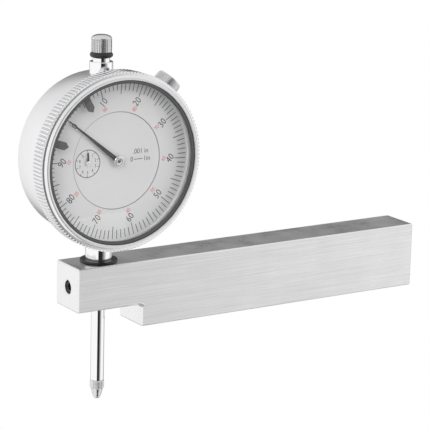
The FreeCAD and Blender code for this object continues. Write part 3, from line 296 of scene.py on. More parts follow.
def surface(name, tint, metallic, rough, rough_spread, stretch, contrast, shade_spread, bump=0.0,
            bump_depth=0.00001, edge_highlight_lift=0.0, edge_radius=0.0002, coat=0.0, ring_marks=False):
    """Solid material: lines or grain in colour, roughness and height, handling film, lifted edges."""
    made, tree, out = blank_material(name)
    shader = add(tree, "ShaderNodeBsdfPrincipled", values={"Metallic": metallic, "Coat Weight": coat,
                                                           "Specular IOR Level": 0.5})
    tree.links.new(shader.outputs[0], out.inputs["Surface"])
    place = tree.nodes.new("ShaderNodeTexCoord").outputs["Object"]
    vector = place
    if ring_marks:
        centred = add(tree, "ShaderNodeMapping", {"Vector": place},
                      {"Location": (-AXIS_X * MM, 0.0, -DIAL_Z * MM)})
        flat = add(tree, "ShaderNodeVectorMath", {0: centred.outputs[0]}, {1: (1.0, 0.0, 1.0)},
                   operation="MULTIPLY")
        radius = add(tree, "ShaderNodeVectorMath", {0: flat.outputs[0]}, operation="LENGTH")
        apart = add(tree, "ShaderNodeSeparateXYZ", {"Vector": centred.outputs[0]})
        joined = add(tree, "ShaderNodeCombineXYZ", {"X": radius.outputs["Value"], "Y": apart.outputs["Y"]})
        vector = joined.outputs[0]
    lines = group_node(tree, "lines", {"Vector": vector}, {"Stretch": stretch, "Contrast": contrast})
    film = group_node(tree, "film", {"Vector": place}, {"Scale": FILM_SCALE})
    dark = [max(0.0, part * (1.0 - shade_spread)) for part in tint] + [1.0]
    light = [min(1.0, part * (1.0 + shade_spread)) for part in tint] + [1.0]
    mix = add(tree, "ShaderNodeMix", {"Factor": lines.outputs["Lines"]}, data_type="RGBA")
    mix.inputs["A"].default_value = dark
    mix.inputs["B"].default_value = light
    shown = mix.outputs["Result"]
    # Painted highlight: edges found by the bevel mask are lightened towards near-white in the base colour.
    if edge_highlight_lift:
        edge = group_node(tree, "edge", values={"Radius": edge_radius})
        part = add(tree, "ShaderNodeMath", {0: edge.outputs["Edge"]}, {1: edge_highlight_lift}, operation="MULTIPLY")
        highlighted = add(tree, "ShaderNodeMix", {"Factor": part.outputs[0], "A": shown}, data_type="RGBA")
        highlighted.inputs["B"].default_value = (0.95, 0.95, 0.95, 1.0)
        shown = highlighted.outputs["Result"]
    tree.links.new(shown, shader.inputs["Base Color"])
    rough_mix = add(tree, "ShaderNodeMath", {0: lines.outputs["Lines"], 1: film.outputs["Film"]},
                    operation="ADD")
    rough_out = add(tree, "ShaderNodeMapRange", {"Value": rough_mix.outputs[0]},
                    {"From Min": 0.0, "From Max": 2.0, "To Min": max(0.02, rough - rough_spread),
                     "To Max": rough + rough_spread})
    tree.links.new(rough_out.outputs[0], shader.inputs["Roughness"])
    if bump:
        height = add(tree, "ShaderNodeBump", {"Height": lines.outputs["Lines"]},
                     {"Strength": bump, "Distance": bump_depth})
        tree.links.new(height.outputs["Normal"], shader.inputs["Normal"])
    return made


def clear_glass(name):
    """Clear acrylic: gloss from the shader, lamps shine through it."""
    made, tree, out = blank_material(name)
    shader = add(tree, "ShaderNodeBsdfPrincipled", values={"Base Color": (1.0, 1.0, 1.0, 1.0), "IOR": 1.33,
                                                           "Transmission Weight": 1.0, "Metallic": 0.0})
    place = tree.nodes.new("ShaderNodeTexCoord").outputs["Object"]
    film = group_node(tree, "film", {"Vector": place}, {"Scale": 60.0})
    rough = add(tree, "ShaderNodeMapRange", {"Value": film.outputs["Film"]}, {"To Min": 0.0, "To Max": 0.004})
    tree.links.new(rough.outputs[0], shader.inputs["Roughness"])
    open_way = tree.nodes.new("ShaderNodeBsdfTransparent")
    path = tree.nodes.new("ShaderNodeLightPath")
    mix = add(tree, "ShaderNodeMixShader", {0: path.outputs["Is Shadow Ray"], 1: shader.outputs[0],
                                            2: open_way.outputs[0]})
    tree.links.new(mix.outputs[0], out.inputs["Surface"])
    return made


FINISHES = {}


def finish(name):
    """Material of one of the object's finishes, made once."""
    if name in FINISHES:
        return FINISHES[name]
    scene = bpy.context.scene
    case = scene.indicator_case.metal
    dial = scene.indicator_dial
    fine = 1.0 / scene.indicator_bar.line_width
    grain = (2600.0, 2600.0, 2600.0)
    # Each row: colour, metallic, roughness and its spread, stretch of the lines, their contrast and
    # shade, bump and its depth, strength of the painted edge highlight and its radius, coat, lines round the
    # dial.
    looks = {
        "bar_aluminium": (scene.indicator_bar.metal, 1.0, 0.31, 0.08, (38.0, fine, fine), 2.8, 0.12,
                          0.25, 0.00001, 0.3, 0.00012),
        "case_metal": (case, 1.0, 0.34, 0.06, grain, 1.5, 0.03, 0.12, 0.000004, 0.4),
        "bezel_metal": (case, 1.0, 0.26, 0.06, (5200.0, 3000.0, 1.0), 1.6, 0.03, 0.04, 0.000003, 0.5,
                        0.00015, 0.0, True),
        "chrome": (scene.indicator_plunger.chrome, 1.0, 0.07, 0.03, (300.0, 300.0, 9000.0), 1.2, 0.02,
                   0.05, 0.000002),
        "steel": ((0.66, 0.66, 0.67), 1.0, 0.24, 0.08, grain, 1.6, 0.05, 0.1, 0.000004, 0.5),
        "blackened_steel": ((0.035, 0.035, 0.038), 0.6, 0.34, 0.10, grain, 1.6, 0.25, 0.2, 0.000006,
                            0.15),
        "black_rubber": ((0.012, 0.012, 0.013), 0.0, 0.36, 0.12, grain, 1.8, 0.3, 0.3, 0.00001),
        "seal_black": ((0.085, 0.086, 0.088), 0.0, 0.42, 0.10, grain, 1.6, 0.18, 0.2, 0.000006),
        "dial_silver": (dial.face, 0.25, 0.50, 0.06, grain, 1.4, 0.02, 0.06, 0.000004),
        "hand_black": (dial.ink, 0.0, 0.40, 0.08, grain, 1.4, 0.3, 0.1, 0.000004),
        "hand_grey": ((0.07, 0.07, 0.072), 0.0, 0.5, 0.08, grain, 1.5, 0.15, 0.1, 0.000004),
        "red_ink": (dial.red, 0.0, 0.5, 0.06, grain, 1.4, 0.08, 0.05, 0.000004),
        "brass": ((0.72, 0.52, 0.22), 1.0, 0.30, 0.10, grain, 1.6, 0.07, 0.15, 0.000004, 0.5),
        "jewel_red": ((0.45, 0.02, 0.05), 0.0, 0.08, 0.03, grain, 1.2, 0.12, 0.0, 0.00001, 0.0, 0.0002,
                      0.6),
    }
    if name == "clear_crystal":
        FINISHES[name] = clear_glass(name)
    else:
        FINISHES[name] = surface(name, *looks[name])
    return FINISHES[name]


# ---- meshes --------------------------------------------------------------------------

def as_mesh(shape):
    """Mesh of a bmesh, which is freed."""
    mesh = bpy.data.meshes.new("piece")
    shape.to_mesh(mesh)
    shape.free()
    return mesh


def placed(name, data):
    """New object in the scene."""
    made = bpy.data.objects.new(name, data)
    bpy.context.scene.collection.objects.link(made)
    return made


def evaluated(host):
    """Plain mesh of an object with its modifiers carried out."""
    graph = bpy.context.evaluated_depsgraph_get()
    return bpy.data.meshes.new_from_object(host.evaluated_get(graph))


def settled(shape, spot):
    """Mesh from a bmesh drawn in mm, placed by its frame and scaled to metres."""
    bmesh.ops.recalc_face_normals(shape, faces=shape.faces)
    mesh = as_mesh(shape)
    mesh.transform(Matrix.Scale(MM, 4) @ spot)
    return mesh


def eased(profile):
    """Profile of (radius, height[, ease]) corners with each eased corner drawn as a short curve."""
    points = []
    for k, corner in enumerate(profile):
        here = Vector(corner[:2])
        if len(corner) < 3:
            points.append(tuple(here))
            continue
        before = Vector(profile[k - 1][:2])
        after = Vector(profile[(k + 1) % len(profile)][:2])
        start = here + (before - here).normalized() * corner[2]
        end = here + (after - here).normalized() * corner[2]
        for step in range(EASE_STEPS + 1):
            share = step / EASE_STEPS
            bend = start * (1 - share) ** 2 + here * 2 * share * (1 - share) + end * share ** 2
            points.append(tuple(bend))
    return points


def turned(profile, spot, steps=TURN_STEPS):
    """Turned piece: corners about the frame's Z axis; it closes on the axis or on itself."""
    shape = bmesh.new()
    rings = []
    points = eased(profile)
    for radius, height in points:
        if radius < 1e-6:
            rings.append([shape.verts.new((0.0, 0.0, height))])
            continue
        ring = []
        for k in range(steps):
            angle = 2 * math.pi * k / steps
            ring.append(shape.verts.new((radius * math.cos(angle), radius * math.sin(angle), height)))
        rings.append(ring)
    pairs = list(zip(rings, rings[1:]))
    if min(radius for radius, _ in points) > 1e-6:
        pairs.append((rings[-1], rings[0]))
    for low, high in pairs:
        for k in range(steps):
            n = k + 1
            corners = (low[k % len(low)], low[n % len(low)], high[n % len(high)], high[k % len(high)])
            corners = list(dict.fromkeys(corners))
            if len(corners) > 2:
                shape.faces.new(corners)
    return settled(shape, spot)


def tube(inner, outer, low, high, spot, steps=TURN_STEPS):
    """Plain ring between two heights, or a disc where the inner radius is zero."""
    return turned([(inner, low), (outer, low), (outer, high), (inner, high)], spot, steps)


def plate(outline, low, high, spot):
    """Flat plate with an outline in the frame's XY plane, between two heights."""
    shape = bmesh.new()
    bottom = [shape.verts.new((x, y, low)) for x, y in outline]
    top = [shape.verts.new((x, y, high)) for x, y in outline]
    shape.faces.new(bottom[::-1])
    shape.faces.new(top)
    for k in range(len(outline)):
        n = (k + 1) % len(outline)
        shape.faces.new((bottom[k], bottom[n], top[n], top[k]))
    return settled(shape, spot)


def merged(meshes):
    """Several meshes as one."""
    shape = bmesh.new()
    for mesh in meshes:
        shape.from_mesh(mesh)
        bpy.data.meshes.remove(mesh)
    return as_mesh(shape)


def drilled(mesh, hole):
    """A mesh with a hole cut by another, both in metres."""
    host = placed("host", mesh)
    cutter = placed("cutter", hole)
    cut = host.modifiers.new("cut", "BOOLEAN")
    cut.operation = "DIFFERENCE"
    cut.solver = "EXACT"
    cut.object = cutter
    made = evaluated(host)
    for item in (host, cutter):
        bpy.data.objects.remove(item)
    return made


def fitted(label, mesh, slot, body, stands_for=(), look=None):
    """Finished piece: named, shaded, given its finish, and riding on its body."""
    mesh.name = label
    mesh.materials.clear()
    mesh.materials.append(finish(look or slot))
    mesh.polygons.foreach_set("material_index", [0] * len(mesh.polygons))
    mesh.polygons.foreach_set("use_smooth", [True] * len(mesh.polygons))
    mesh.set_sharp_from_angle(angle=SHARP)
    piece = placed(label, mesh)
    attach(piece, body)
    if stands_for:
        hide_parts(*stands_for)
    return piece


# ---- geometry nodes ------------------------------------------------------------------

def geometry_tree(name, inputs):
    """Empty geometry tree with named inputs (name, kind, default)."""
    tree = bpy.data.node_groups.new(name, "GeometryNodeTree")
    tree.interface.new_socket(name="Geometry", in_out="INPUT", socket_type="NodeSocketGeometry")
    for label, kind, default in inputs:
        socket = tree.interface.new_socket(name=label, in_out="INPUT", socket_type=kind)
        if default is not None:
            socket.default_value = default
    tree.interface.new_socket(name="Geometry", in_out="OUTPUT", socket_type="NodeSocketGeometry")
    return tree, tree.nodes.new("NodeGroupInput"), tree.nodes.new("NodeGroupOutput")


def ring_places(tree, given, radius):
    """Points round the Z axis at a radius, and the turn of each."""
    index = tree.nodes.new("GeometryNodeInputIndex")
    pitch = add(tree, "ShaderNodeMath", {1: given.outputs["Count"]}, {0: 2 * math.pi}, operation="DIVIDE")
    angle = add(tree, "ShaderNodeMath", {0: index.outputs[0], 1: pitch.outputs[0],
                                         2: given.outputs["Start angle"]}, operation="MULTIPLY_ADD")
    cosine = add(tree, "ShaderNodeMath", {0: angle.outputs[0]}, operation="COSINE")
    sine = add(tree, "ShaderNodeMath", {0: angle.outputs[0]}, operation="SINE")
    unit = add(tree, "ShaderNodeCombineXYZ", {"X": cosine.outputs[0], "Y": sine.outputs[0]})
    spot = add(tree, "ShaderNodeVectorMath", {0: unit.outputs[0], "Scale": radius}, operation="SCALE")
    points = add(tree, "GeometryNodePoints", {"Count": given.outputs["Count"], "Position": spot.outputs[0]})
    turn = add(tree, "ShaderNodeCombineXYZ", {"Z": angle.outputs[0]})
    return points.outputs[0], turn.outputs[0]


def ribs_tree():
    """Copies of one drawn piece round the Z axis."""
    tree, given, out = geometry_tree("Copies round an axis", [
        ("Count", "NodeSocketInt", 8), ("Ring radius", "NodeSocketFloat", 1.0),
        ("Start angle", "NodeSocketFloat", 0.0), ("Finish", "NodeSocketMaterial", None)])
    points, turn = ring_places(tree, given, given.outputs["Ring radius"])
    copies = add(tree, "GeometryNodeInstanceOnPoints",
                 {"Points": points, "Instance": given.outputs["Geometry"], "Rotation": turn})
    real = add(tree, "GeometryNodeRealizeInstances", {0: copies.outputs[0]})
    painted = add(tree, "GeometryNodeSetMaterial",
                  {"Geometry": real.outputs[0], "Material": given.outputs["Finish"]})
    tree.links.new(painted.outputs[0], out.inputs[0])
    return tree


def graduations_tree():
    """Marks of a round scale, with longer ones at a step, that all reach one outer circle."""
    tree, given, out = geometry_tree("Round scale", [
        ("Count", "NodeSocketInt", 100), ("Outer radius", "NodeSocketFloat", 27.4),
        ("Mark length", "NodeSocketFloat", 3.2), ("Long mark", "NodeSocketFloat", 4.5),
        ("Long every", "NodeSocketInt", 5), ("Width", "NodeSocketFloat", 0.25),
        ("Thickness", "NodeSocketFloat", 0.02), ("Start angle", "NodeSocketFloat", 0.0),
        ("Finish", "NodeSocketMaterial", None)])
    index = tree.nodes.new("GeometryNodeInputIndex")
    rest = add(tree, "ShaderNodeMath", {0: index.outputs[0], 1: given.outputs["Long every"]},
               operation="MODULO")
    is_long = add(tree, "ShaderNodeMath", {0: rest.outputs[0]}, {1: 0.5}, operation="LESS_THAN")
    more = add(tree, "ShaderNodeMath", {0: given.outputs["Long mark"], 1: given.outputs["Mark length"]},
               operation="SUBTRACT")
    mark = add(tree, "ShaderNodeMath", {0: is_long.outputs[0], 1: more.outputs[0],
                                        2: given.outputs["Mark length"]}, operation="MULTIPLY_ADD")
    radius = add(tree, "ShaderNodeMath", {0: mark.outputs[0], 2: given.outputs["Outer radius"]}, {1: -0.5},
                 operation="MULTIPLY_ADD")
    points, turn = ring_places(tree, given, radius.outputs[0])
    block = add(tree, "GeometryNodeMeshCube", values={"Size": (1.0, 1.0, 1.0)})
    size = add(tree, "ShaderNodeCombineXYZ", {"X": mark.outputs[0], "Y": given.outputs["Width"],
                                              "Z": given.outputs["Thickness"]})
    copies = add(tree, "GeometryNodeInstanceOnPoints",
                 {"Points": points, "Instance": block.outputs[0], "Rotation": turn,
                  "Scale": size.outputs[0]})
    real = add(tree, "GeometryNodeRealizeInstances", {0: copies.outputs[0]})
    painted = add(tree, "GeometryNodeSetMaterial",
                  {"Geometry": real.outputs[0], "Material": given.outputs["Finish"]})
    tree.links.new(painted.outputs[0], out.inputs[0])
    return tree


TREES = {}


def grown(kind, seed, spot, **inputs):
    """Plain mesh that a geometry tree makes from a seed mesh in mm, placed and in metres."""
    makers = {"ribs": ribs_tree, "scale": graduations_tree}
    if kind not in TREES:
        TREES[kind] = makers[kind]()
    tree = TREES[kind]
    host = placed("seed", seed)
    modifier = host.modifiers.new("grown", "NODES")
    modifier.node_group = tree
    for item in tree.interface.items_tree:
        if item.in_out == "INPUT" and item.name in inputs:
            modifier[item.identifier] = inputs[item.name]
    mesh = evaluated(host)
    host.modifiers.remove(modifier)
    bpy.data.objects.remove(host)
    bpy.data.meshes.remove(seed)
    mesh.transform(Matrix.Scale(MM, 4) @ spot)
    return mesh


def rib_seed(width, rise, low, high, sink=0.15, ease=0.3):
    """One straight rib at the origin: it stands out along X and runs along Z, ends eased."""
    shape = bmesh.new()
    across = ((-0.5, -sink), (-0.5, 0.0), (-0.26, rise), (0.26, rise), (0.5, 0.0), (0.5, -sink))
    rows = []
    for height, share in ((low, 0.0), (low + ease, 1.0), (high - ease, 1.0), (high, 0.0)):
        row = []
        for side, out in across:
            row.append(shape.verts.new((min(out, rise * share), side * width, height)))
        rows.append(row)
    for lower, upper in zip(rows, rows[1:]):
        for k in range(len(across)):
            n = (k + 1) % len(across)
            shape.faces.new((lower[k], lower[n], upper[n], upper[k]))
    shape.faces.new(rows[0][::-1])
    shape.faces.new(rows[-1])
    bmesh.ops.recalc_face_normals(shape, faces=shape.faces)
    return as_mesh(shape)


def ribs(number, radius, rise, low, high, spot, slot, share=0.92, ease=0.3):
    """Straight knurl: ribs standing on a turned band of that radius."""
    width = 2 * math.pi * radius / number * share
    seed = rib_seed(width, rise, low, high, ease=ease)
    return grown("ribs", seed, spot, Count=number, Finish=finish(slot), **{"Ring radius": radius})


def numeral(text, height, spot, squeeze=0.82):
    """Printed numeral, centred on its frame."""
    curve = bpy.data.curves.new("numeral", "FONT")
    curve.body = text
    curve.size = height / 0.72
    curve.align_x = "CENTER"
    curve.align_y = "CENTER"
    curve.extrude = PRINT_RISE
    curve.resolution_u = 3
    host = placed("numeral", curve)
    mesh = evaluated(host)
    bpy.data.objects.remove(host)
    bpy.data.curves.remove(curve)
    mesh.transform(Matrix.Scale(MM, 4) @ spot @ Matrix.Diagonal((squeeze, 1.0, 1.0, 1.0)))
    return mesh


def hoop(radius, width, front, spot, steps=TURN_STEPS):
    """Thin printed or engraved circle."""
    return tube(radius - width / 2, radius + width / 2, front - PRINT_RISE, front + PRINT_RISE, spot, steps)


# ---- pieces --------------------------------------------------------------------------

def dressed(node, look):
    """Gives a CAD node that stays in view one of the finishes."""
    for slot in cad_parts[node].material_slots:
        slot.material = finish(look)


def make_bar():
    """The bar keeps its CAD shape and gets drawn metal."""
    dressed("holder_bar", "bar_aluminium")


def make_stem():
    """Stem, the rubber ring at its foot, and the sleeve on top of the case."""
    low, high = reach_of("stem")
    radius = radius_of("stem")
    top = high.z + 2.0
    stem = turned([(3.4, low.z), (radius, low.z, 0.3), (radius, top), (3.4, top)], on_axis())
    fitted("stem_turned", stem, "chrome", "indicator", ["stem"])
    low, high = reach_of("stem_ring")
    outer = radius_of("stem_ring")
    inner = radius + 0.03
    ring = turned([(inner, low.z), (outer, low.z, 0.42), (outer, high.z, 0.42), (inner, high.z, 0.3)],
                  on_axis())
    fitted("stem_ring_round", ring, "black_rubber", "stem_collar", ["stem_ring"])
    low, high = reach_of("top_sleeve")
    outer = radius_of("top_sleeve")
    shoulder = high.z - 1.3
    sleeve = turned([
        (2.5, low.z), (outer, low.z), (outer, shoulder, 0.4), (3.0, shoulder), (3.0, high.z, 0.15),
        (2.5, high.z)], on_axis())
    fitted("top_sleeve_turned", sleeve, "chrome", "indicator", ["top_sleeve"])


def make_case():
    """Case wall with its bores for stem, sleeve and clamp, and the cover with its turned groove."""
    radius, back, front = round_reach("case_body")
    shoulder = round_reach("bezel")[1] - 0.1
    case = turned([
        (23.5, back), (radius, back, 0.35), (radius, shoulder, 0.35), (27.6, shoulder), (27.6, front),
        (26.0, front), (26.0, 2.8), (23.5, 2.8)], on_dial(), SMOOTH_STEPS)
    stem_hole = tube(0.0, STEM_BORE, 0.0, DIAL_Z, on_axis(), HOLE_STEPS)
    sleeve_hole = tube(0.0, SLEEVE_BORE, DIAL_Z, DIAL_Z + 40.0, on_axis(), HOLE_STEPS)
    knob_hole = tube(0.0, KNOB_BORE, 20.0, 40.0, knob_frame(), 32)
    for hole in (stem_hole, sleeve_hole, knob_hole):
        case = drilled(case, hole)
    fitted("case_turned", case, "case_metal", "indicator", ["case_body"])
    radius, outside, inside = round_reach("back_cover")
    cover = turned([
        (0.0, outside), (17.0, outside), (17.4, outside + 0.15), (17.8, outside), (radius, outside, 0.8),
        (radius, back), (23.4, back), (23.4, inside), (0.0, inside)], on_dial(), SMOOTH_STEPS)
    fitted("back_cover_turned", cover, "case_metal", "indicator", ["back_cover"])


def make_screws():
    """Cover screws: slotted pan heads copied round the cover."""
    outside = round_reach("cover_screws")[1]
    origin = Matrix.Identity(4)
    head = turned([(0.0, outside), (1.4, outside, 0.3), (1.4, outside + 0.8), (0.0, outside + 0.8)],
                  origin, 24)
    # Painted shade: the slot is not cut; a thin dark plate on the head stands in for the shade in the slot.
    groove = plate([(-1.15, -0.14), (1.15, -0.14), (1.15, 0.14), (-1.15, 0.14)], outside - 0.01,
                   outside + 0.1, origin)
    for seed, label, look, stands_for in ((head, "cover_screw_heads", "steel", ["cover_screws"]),
                                          (groove, "cover_screw_slot_shade", "blackened_steel", [])):
        seed.transform(Matrix.Scale(1 / MM, 4))
        copies = grown("ribs", seed, on_dial(), Count=4, Finish=finish(look),
                       **{"Ring radius": COVER_SCREW_RING, "Start angle": math.pi / 4})
        fitted(label, copies, look, "indicator", stands_for)


def make_bezel():
    """Bezel: a turned rim whose rear band carries the straight knurl."""
    sizes = bpy.context.scene.indicator_case
    radius, back, front = round_reach("bezel")
    rise = sizes.rib_height / MM
    band = radius - rise
    knurl_front = front - 1.1
    plain = radius - 1.1
    body = turned([
        (28.0, back), (band, back, 0.1), (band, knurl_front), (plain, knurl_front + 0.12),
        (plain, front - 0.75, 0.15), (plain - 0.7, front, 0.12), (28.8, front, 0.1), (28.8, 14.0),
        (28.3, 14.0), (28.3, 10.9), (28.0, 10.9)], on_dial(), BEZEL_STEPS)
    knurl = ribs(sizes.bezel_ribs, band, rise, back, knurl_front, on_dial(), "bezel_metal", 0.9, 0.35)
    fitted("bezel_knurled", merged([body, knurl]), "bezel_metal", "bezel", ["bezel"])


def make_crystal():
    """Crystal, its sealing ring, and the thin wall between the seal and the dial."""
    radius, back, front = round_reach("crystal")
    pane = turned([(0.0, back), (radius, back, 0.1), (radius, front, 0.1), (0.0, front)], on_dial())
    fitted("crystal_pane", pane, "clear_crystal", "bezel", ["crystal"])
    outer, back, front = round_reach("crystal_seal")
    seal = turned([(27.65, back), (outer, back), (outer, front, 0.25), (27.65, front, 0.3)],
                  on_dial(), SMOOTH_STEPS)
    fitted("crystal_seal_ring", seal, "seal_black", "bezel", ["crystal_seal"])
    edges = [hoop(27.78, 0.26, front - 0.05, on_dial(), SMOOTH_STEPS),
             hoop(28.65, 0.26, front - 0.02, on_dial(), SMOOTH_STEPS)]
    fitted("crystal_seal_edges", merged(edges), "black_rubber", "bezel")
    wall = tube(28.05, 28.25, round_reach("outer_dial")[2] + 0.02, 13.15, on_dial())
    fitted("dial_wall", wall, "dial_silver", "bezel")


def upright(radius, angle, tilt, front):
    """Frame of a printed numeral at a clock angle (from the top, clockwise), tilted as a whole."""
    turn = math.pi / 2 - angle + tilt
    spot = on_dial(radius * math.cos(turn), radius * math.sin(turn))
    return spot @ Matrix.Translation((0.0, 0.0, front)) @ Matrix.Rotation(tilt, 4, "Z")


def round_scale(spot, front, start, number, reach, mark, long_mark, width):
    """Printed marks round a frame's Z axis, each fifth one long."""
    return grown("scale", bpy.data.meshes.new("seed"), spot @ Matrix.Translation((0.0, 0.0, front)),
                 Count=number, Width=width, Finish=finish("hand_black"),
                 **{"Outer radius": reach, "Mark length": mark, "Long mark": long_mark, "Long every": 5,
                    "Thickness": PRINT_RISE * 2, "Start angle": start})


def make_outer_scale():
    """Marks, numerals and red reversed numerals of the dial that turns with the bezel."""
    sizes = bpy.context.scene.indicator_dial
    zero = sizes.zero_turn
    front = round_reach("outer_dial")[2]
    dressed("outer_dial", "dial_silver")
    black = [round_scale(on_dial(), front, math.pi / 2 + zero, sizes.marks, MARK_REACH, 3.1, 4.4, 0.25)]
    red = []
    for k in range(10):
        angle = 2 * math.pi * k / 10
        black.append(numeral(str(10 * k), sizes.numeral / MM, upright(NUMERAL_RING, angle, zero, front)))
        red.append(numeral(str((100 - 10 * k) % 100), sizes.red_numeral / MM,
                           upright(RED_NUMERAL_RING, angle, zero, front)))
    fitted("outer_scale_print", merged(black), "hand_black", "bezel")
    fitted("outer_scale_red_print", merged(red), "hand_black", "bezel", look="red_ink")


def make_inner_dial():
    """Revolution counter, the printed range and the edge line of the fixed dial."""
    front = round_reach("inner_dial")[2]
    dressed("inner_dial", "dial_silver")
    spot = counter_frame()
    prints = [round_scale(spot, front, math.pi / 2, 10, 4.7, 0.75, 0.75, 0.17),
              hoop(4.75, 0.24, front, spot, 96)]
    for k in range(10):
        angle = math.pi / 2 - 2 * math.pi * k / 10
        place = spot @ Matrix.Translation((COUNTER_NUMERAL_RING * math.cos(angle),
                                           COUNTER_NUMERAL_RING * math.sin(angle), front))
        prints.append(numeral(str(k), 1.15, place))
    lift = Matrix.Translation((0.0, 0.0, front))
    for text, across, up in ((".001 in", 9.4, 2.5), ("0", 5.9, -0.2), ("1in", 11.9, -0.2)):
        prints.append(numeral(text, 1.75, on_dial(across, up) @ lift, 0.92))
    prints.append(plate([(6.9, -0.3), (10.3, -0.3), (10.3, -0.08), (6.9, -0.08)], front - PRINT_RISE,
                        front + PRINT_RISE, on_dial()))
    fitted("inner_dial_print", merged(prints), "hand_black", "indicator")
    # Painted shade: a thin dark grey ring round the fixed dial's step stands in for the shade at the step.
    fitted("inner_dial_step_shade", hoop(16.86, 0.16, front, on_dial()), "hand_grey", "indicator")


def make_hands():
    """Pointer and hub, the revolution counter's hand, and the two tolerance hands on their bands."""
    zero = math.pi / 2 + bpy.context.scene.indicator_dial.zero_turn
    _, back, front = round_reach("pointer")
    turn = on_dial() @ Matrix.Rotation(zero, 4, "Z")
    needle = plate([(1.0, 0.85), (1.0, -0.85), (24.5, -0.13), (24.5, 0.13)], back, front, turn)
    disc = tube(0.52, 1.7, back, front, on_dial(), 48)
    fitted("pointer_needle", merged([needle, disc]), "hand_black", "centre_train", ["pointer"])
    _, back, front = round_reach("pointer_hub")
    hub = turned([(0.51, back), (1.9, back), (1.9, front, 0.3), (0.95, front, 0.1),
                  (0.75, front - 0.25, 0.1), (0.51, front - 0.25)], on_dial(), 64)
    fitted("pointer_hub_turned", hub, "steel", "centre_train", ["pointer_hub"])
    # Painted shade: a dark grey disc fills the hub's bore in place of the shade inside it; a thin dark ring
    # goes round the hub's face.
    bore_shade = tube(0.0, 0.5, front - 0.1, front + 0.02, on_dial(), 32)
    edge = hoop(1.3, 0.12, front, on_dial(), 64)
    fitted("pointer_hub_bore_shade_and_ring", merged([bore_shade, edge]), "hand_grey", "centre_train")
    _, back, front = round_reach("counter_hand")
    spot = counter_frame()
    needle = plate([(-0.36, 0.4), (0.36, 0.4), (0.16, 3.9), (-0.16, 3.9)], back, front, spot)
    fitted("counter_needle", needle, "hand_black", "counter_train", ["counter_hand"])
    boss = turned([(0.51, back), (0.95, back), (0.95, front + 0.05, 0.15), (0.51, front + 0.05)], spot, 40)
    fitted("counter_boss", boss, "steel", "counter_train")
    # Painted shade: a black disc fills the counter boss's bore in place of the shade inside it.
    bore_shade = tube(0.0, 0.5, front - 0.1, front + 0.07, spot, 32)
    fitted("counter_bore_shade", bore_shade, "hand_black", "counter_train")
    for side, lean in (("lower", TAB_LEAN), ("upper", -TAB_LEAN)):
        node = side + "_tolerance_hand"
        outer, back, front = round_reach(node)
        band = tube(27.5, outer, back, front, on_dial())
        fitted(side + "_tolerance_band", band, "steel", side + "_tolerance", [node], "dial_silver")
        turn = on_dial() @ Matrix.Rotation(zero + lean, 4, "Z")
        tab = plate([(27.7, 1.35), (22.6, 1.35), (21.2, 0.0), (22.6, -1.35), (27.7, -1.35)],
                    back - 0.02, front + 0.02, turn)
        fitted(side + "_tolerance_tab", tab, "hand_grey", side + "_tolerance")


def make_plunger():
    """Contact point, lifting cap, its rubber cushion, and the bright skin of the spindle."""
    low, high = reach_of("contact_point")
    foot = reach_of("rack_spindle")[0].z
    band = 2.42
    band_low = foot - 3.4
    taper = band_low - 2.3
    point = [(0.0, low.z)]
    for k in range(1, 9):
        angle = math.pi / 2 * k / 8
        point.append((1.5 * math.sin(angle), taper - (taper - low.z) * math.cos(angle)))
    point += [(1.5, taper + 0.05), (1.62, taper + 0.25), (2.1, band_low, 0.1), (band, band_low + 0.35, 0.1),
              (band, foot - 0.35, 0.1), (2.1, foot), (1.2, foot), (1.2, high.z), (0.0, high.z)]
    knurl = ribs(24, band, 0.13, band_low + 0.3, foot - 0.3, on_axis(), "steel", 0.8, 0.12)
    fitted("contact_point_turned", merged([turned(point, on_axis(), 64), knurl]), "steel", "plunger",
           ["contact_point"])
    low, high = reach_of("lift_cap")
    cushion_low, cushion_high = reach_of("cap_cushion")
    brim = cushion_high.z + 0.01
    radius = radius_of("lift_cap")
    grip = radius - 0.3
    crown = 1.1
    top = high.z - crown
    cap = [(0.0, low.z), (1.51, low.z), (2.24, low.z), (2.24, brim), (grip, brim, 0.15), (grip, top - 0.5),
           (radius - 0.05, top - 0.3, 0.1), (radius - 0.05, top, 0.25)]
    for k in range(1, 8):
        angle = math.pi / 2 * k / 8
        cap.append(((radius - 0.2) * math.cos(angle), top + crown * math.sin(angle)))
    cap.append((0.0, high.z))
    knurl = ribs(bpy.context.scene.indicator_plunger.ribs, grip, 0.3, brim + 0.1, top - 0.35, on_axis(),
                 "steel", 0.85, 0.15)
    fitted("lift_cap_knurled", merged([turned(cap, on_axis(), 96), knurl]), "steel", "plunger",
           ["lift_cap"])
    inside = 2.26
    outside = radius_of("cap_cushion")
    middle = (inside + outside) / 2
    half = (outside - inside) / 2
    height = (cushion_low.z + cushion_high.z) / 2
    section = []
    for k in range(20):
        angle = 2 * math.pi * k / 20
        section.append((middle + half * math.cos(angle), height + half * math.sin(angle)))
    fitted("cap_cushion_round", turned(section, on_axis(), 96), "black_rubber", "plunger",
           ["cap_cushion"])
    dressed("rack_spindle", "steel")
    shown_top = BAR_TOP - 12.0
    skin = turned([(1.3, foot), (2.388, foot, 0.2), (2.388, shown_top, 0.1), (1.3, shown_top)],
                  on_axis(), 96)
    fitted("spindle_sleeve", skin, "chrome", "plunger")


def make_knob():
    """Bezel clamp: a short shank and a knurled head with a plain end rim."""
    spot = knob_frame()
    grip = 4.3
    knob = turned([
        (0.0, 26.4), (1.0, 26.4), (1.5, 27.2), (1.5, 29.6), (grip, 29.6, 0.25), (grip, 35.2),
        (4.5, 35.35), (4.5, 35.9, 0.3), (3.2, 35.9, 0.1), (3.0, 35.7, 0.1), (0.0, 35.7)], spot, 96)
    knurl = ribs(bpy.context.scene.indicator_case.knob_ribs, grip, 0.36, 29.75, 35.4, spot, "steel",
                 0.7, 0.2)
    fitted("clamp_knob_knurled", merged([knob, knurl]), "steel", "clamp_knob", ["bezel_clamp_screw"])


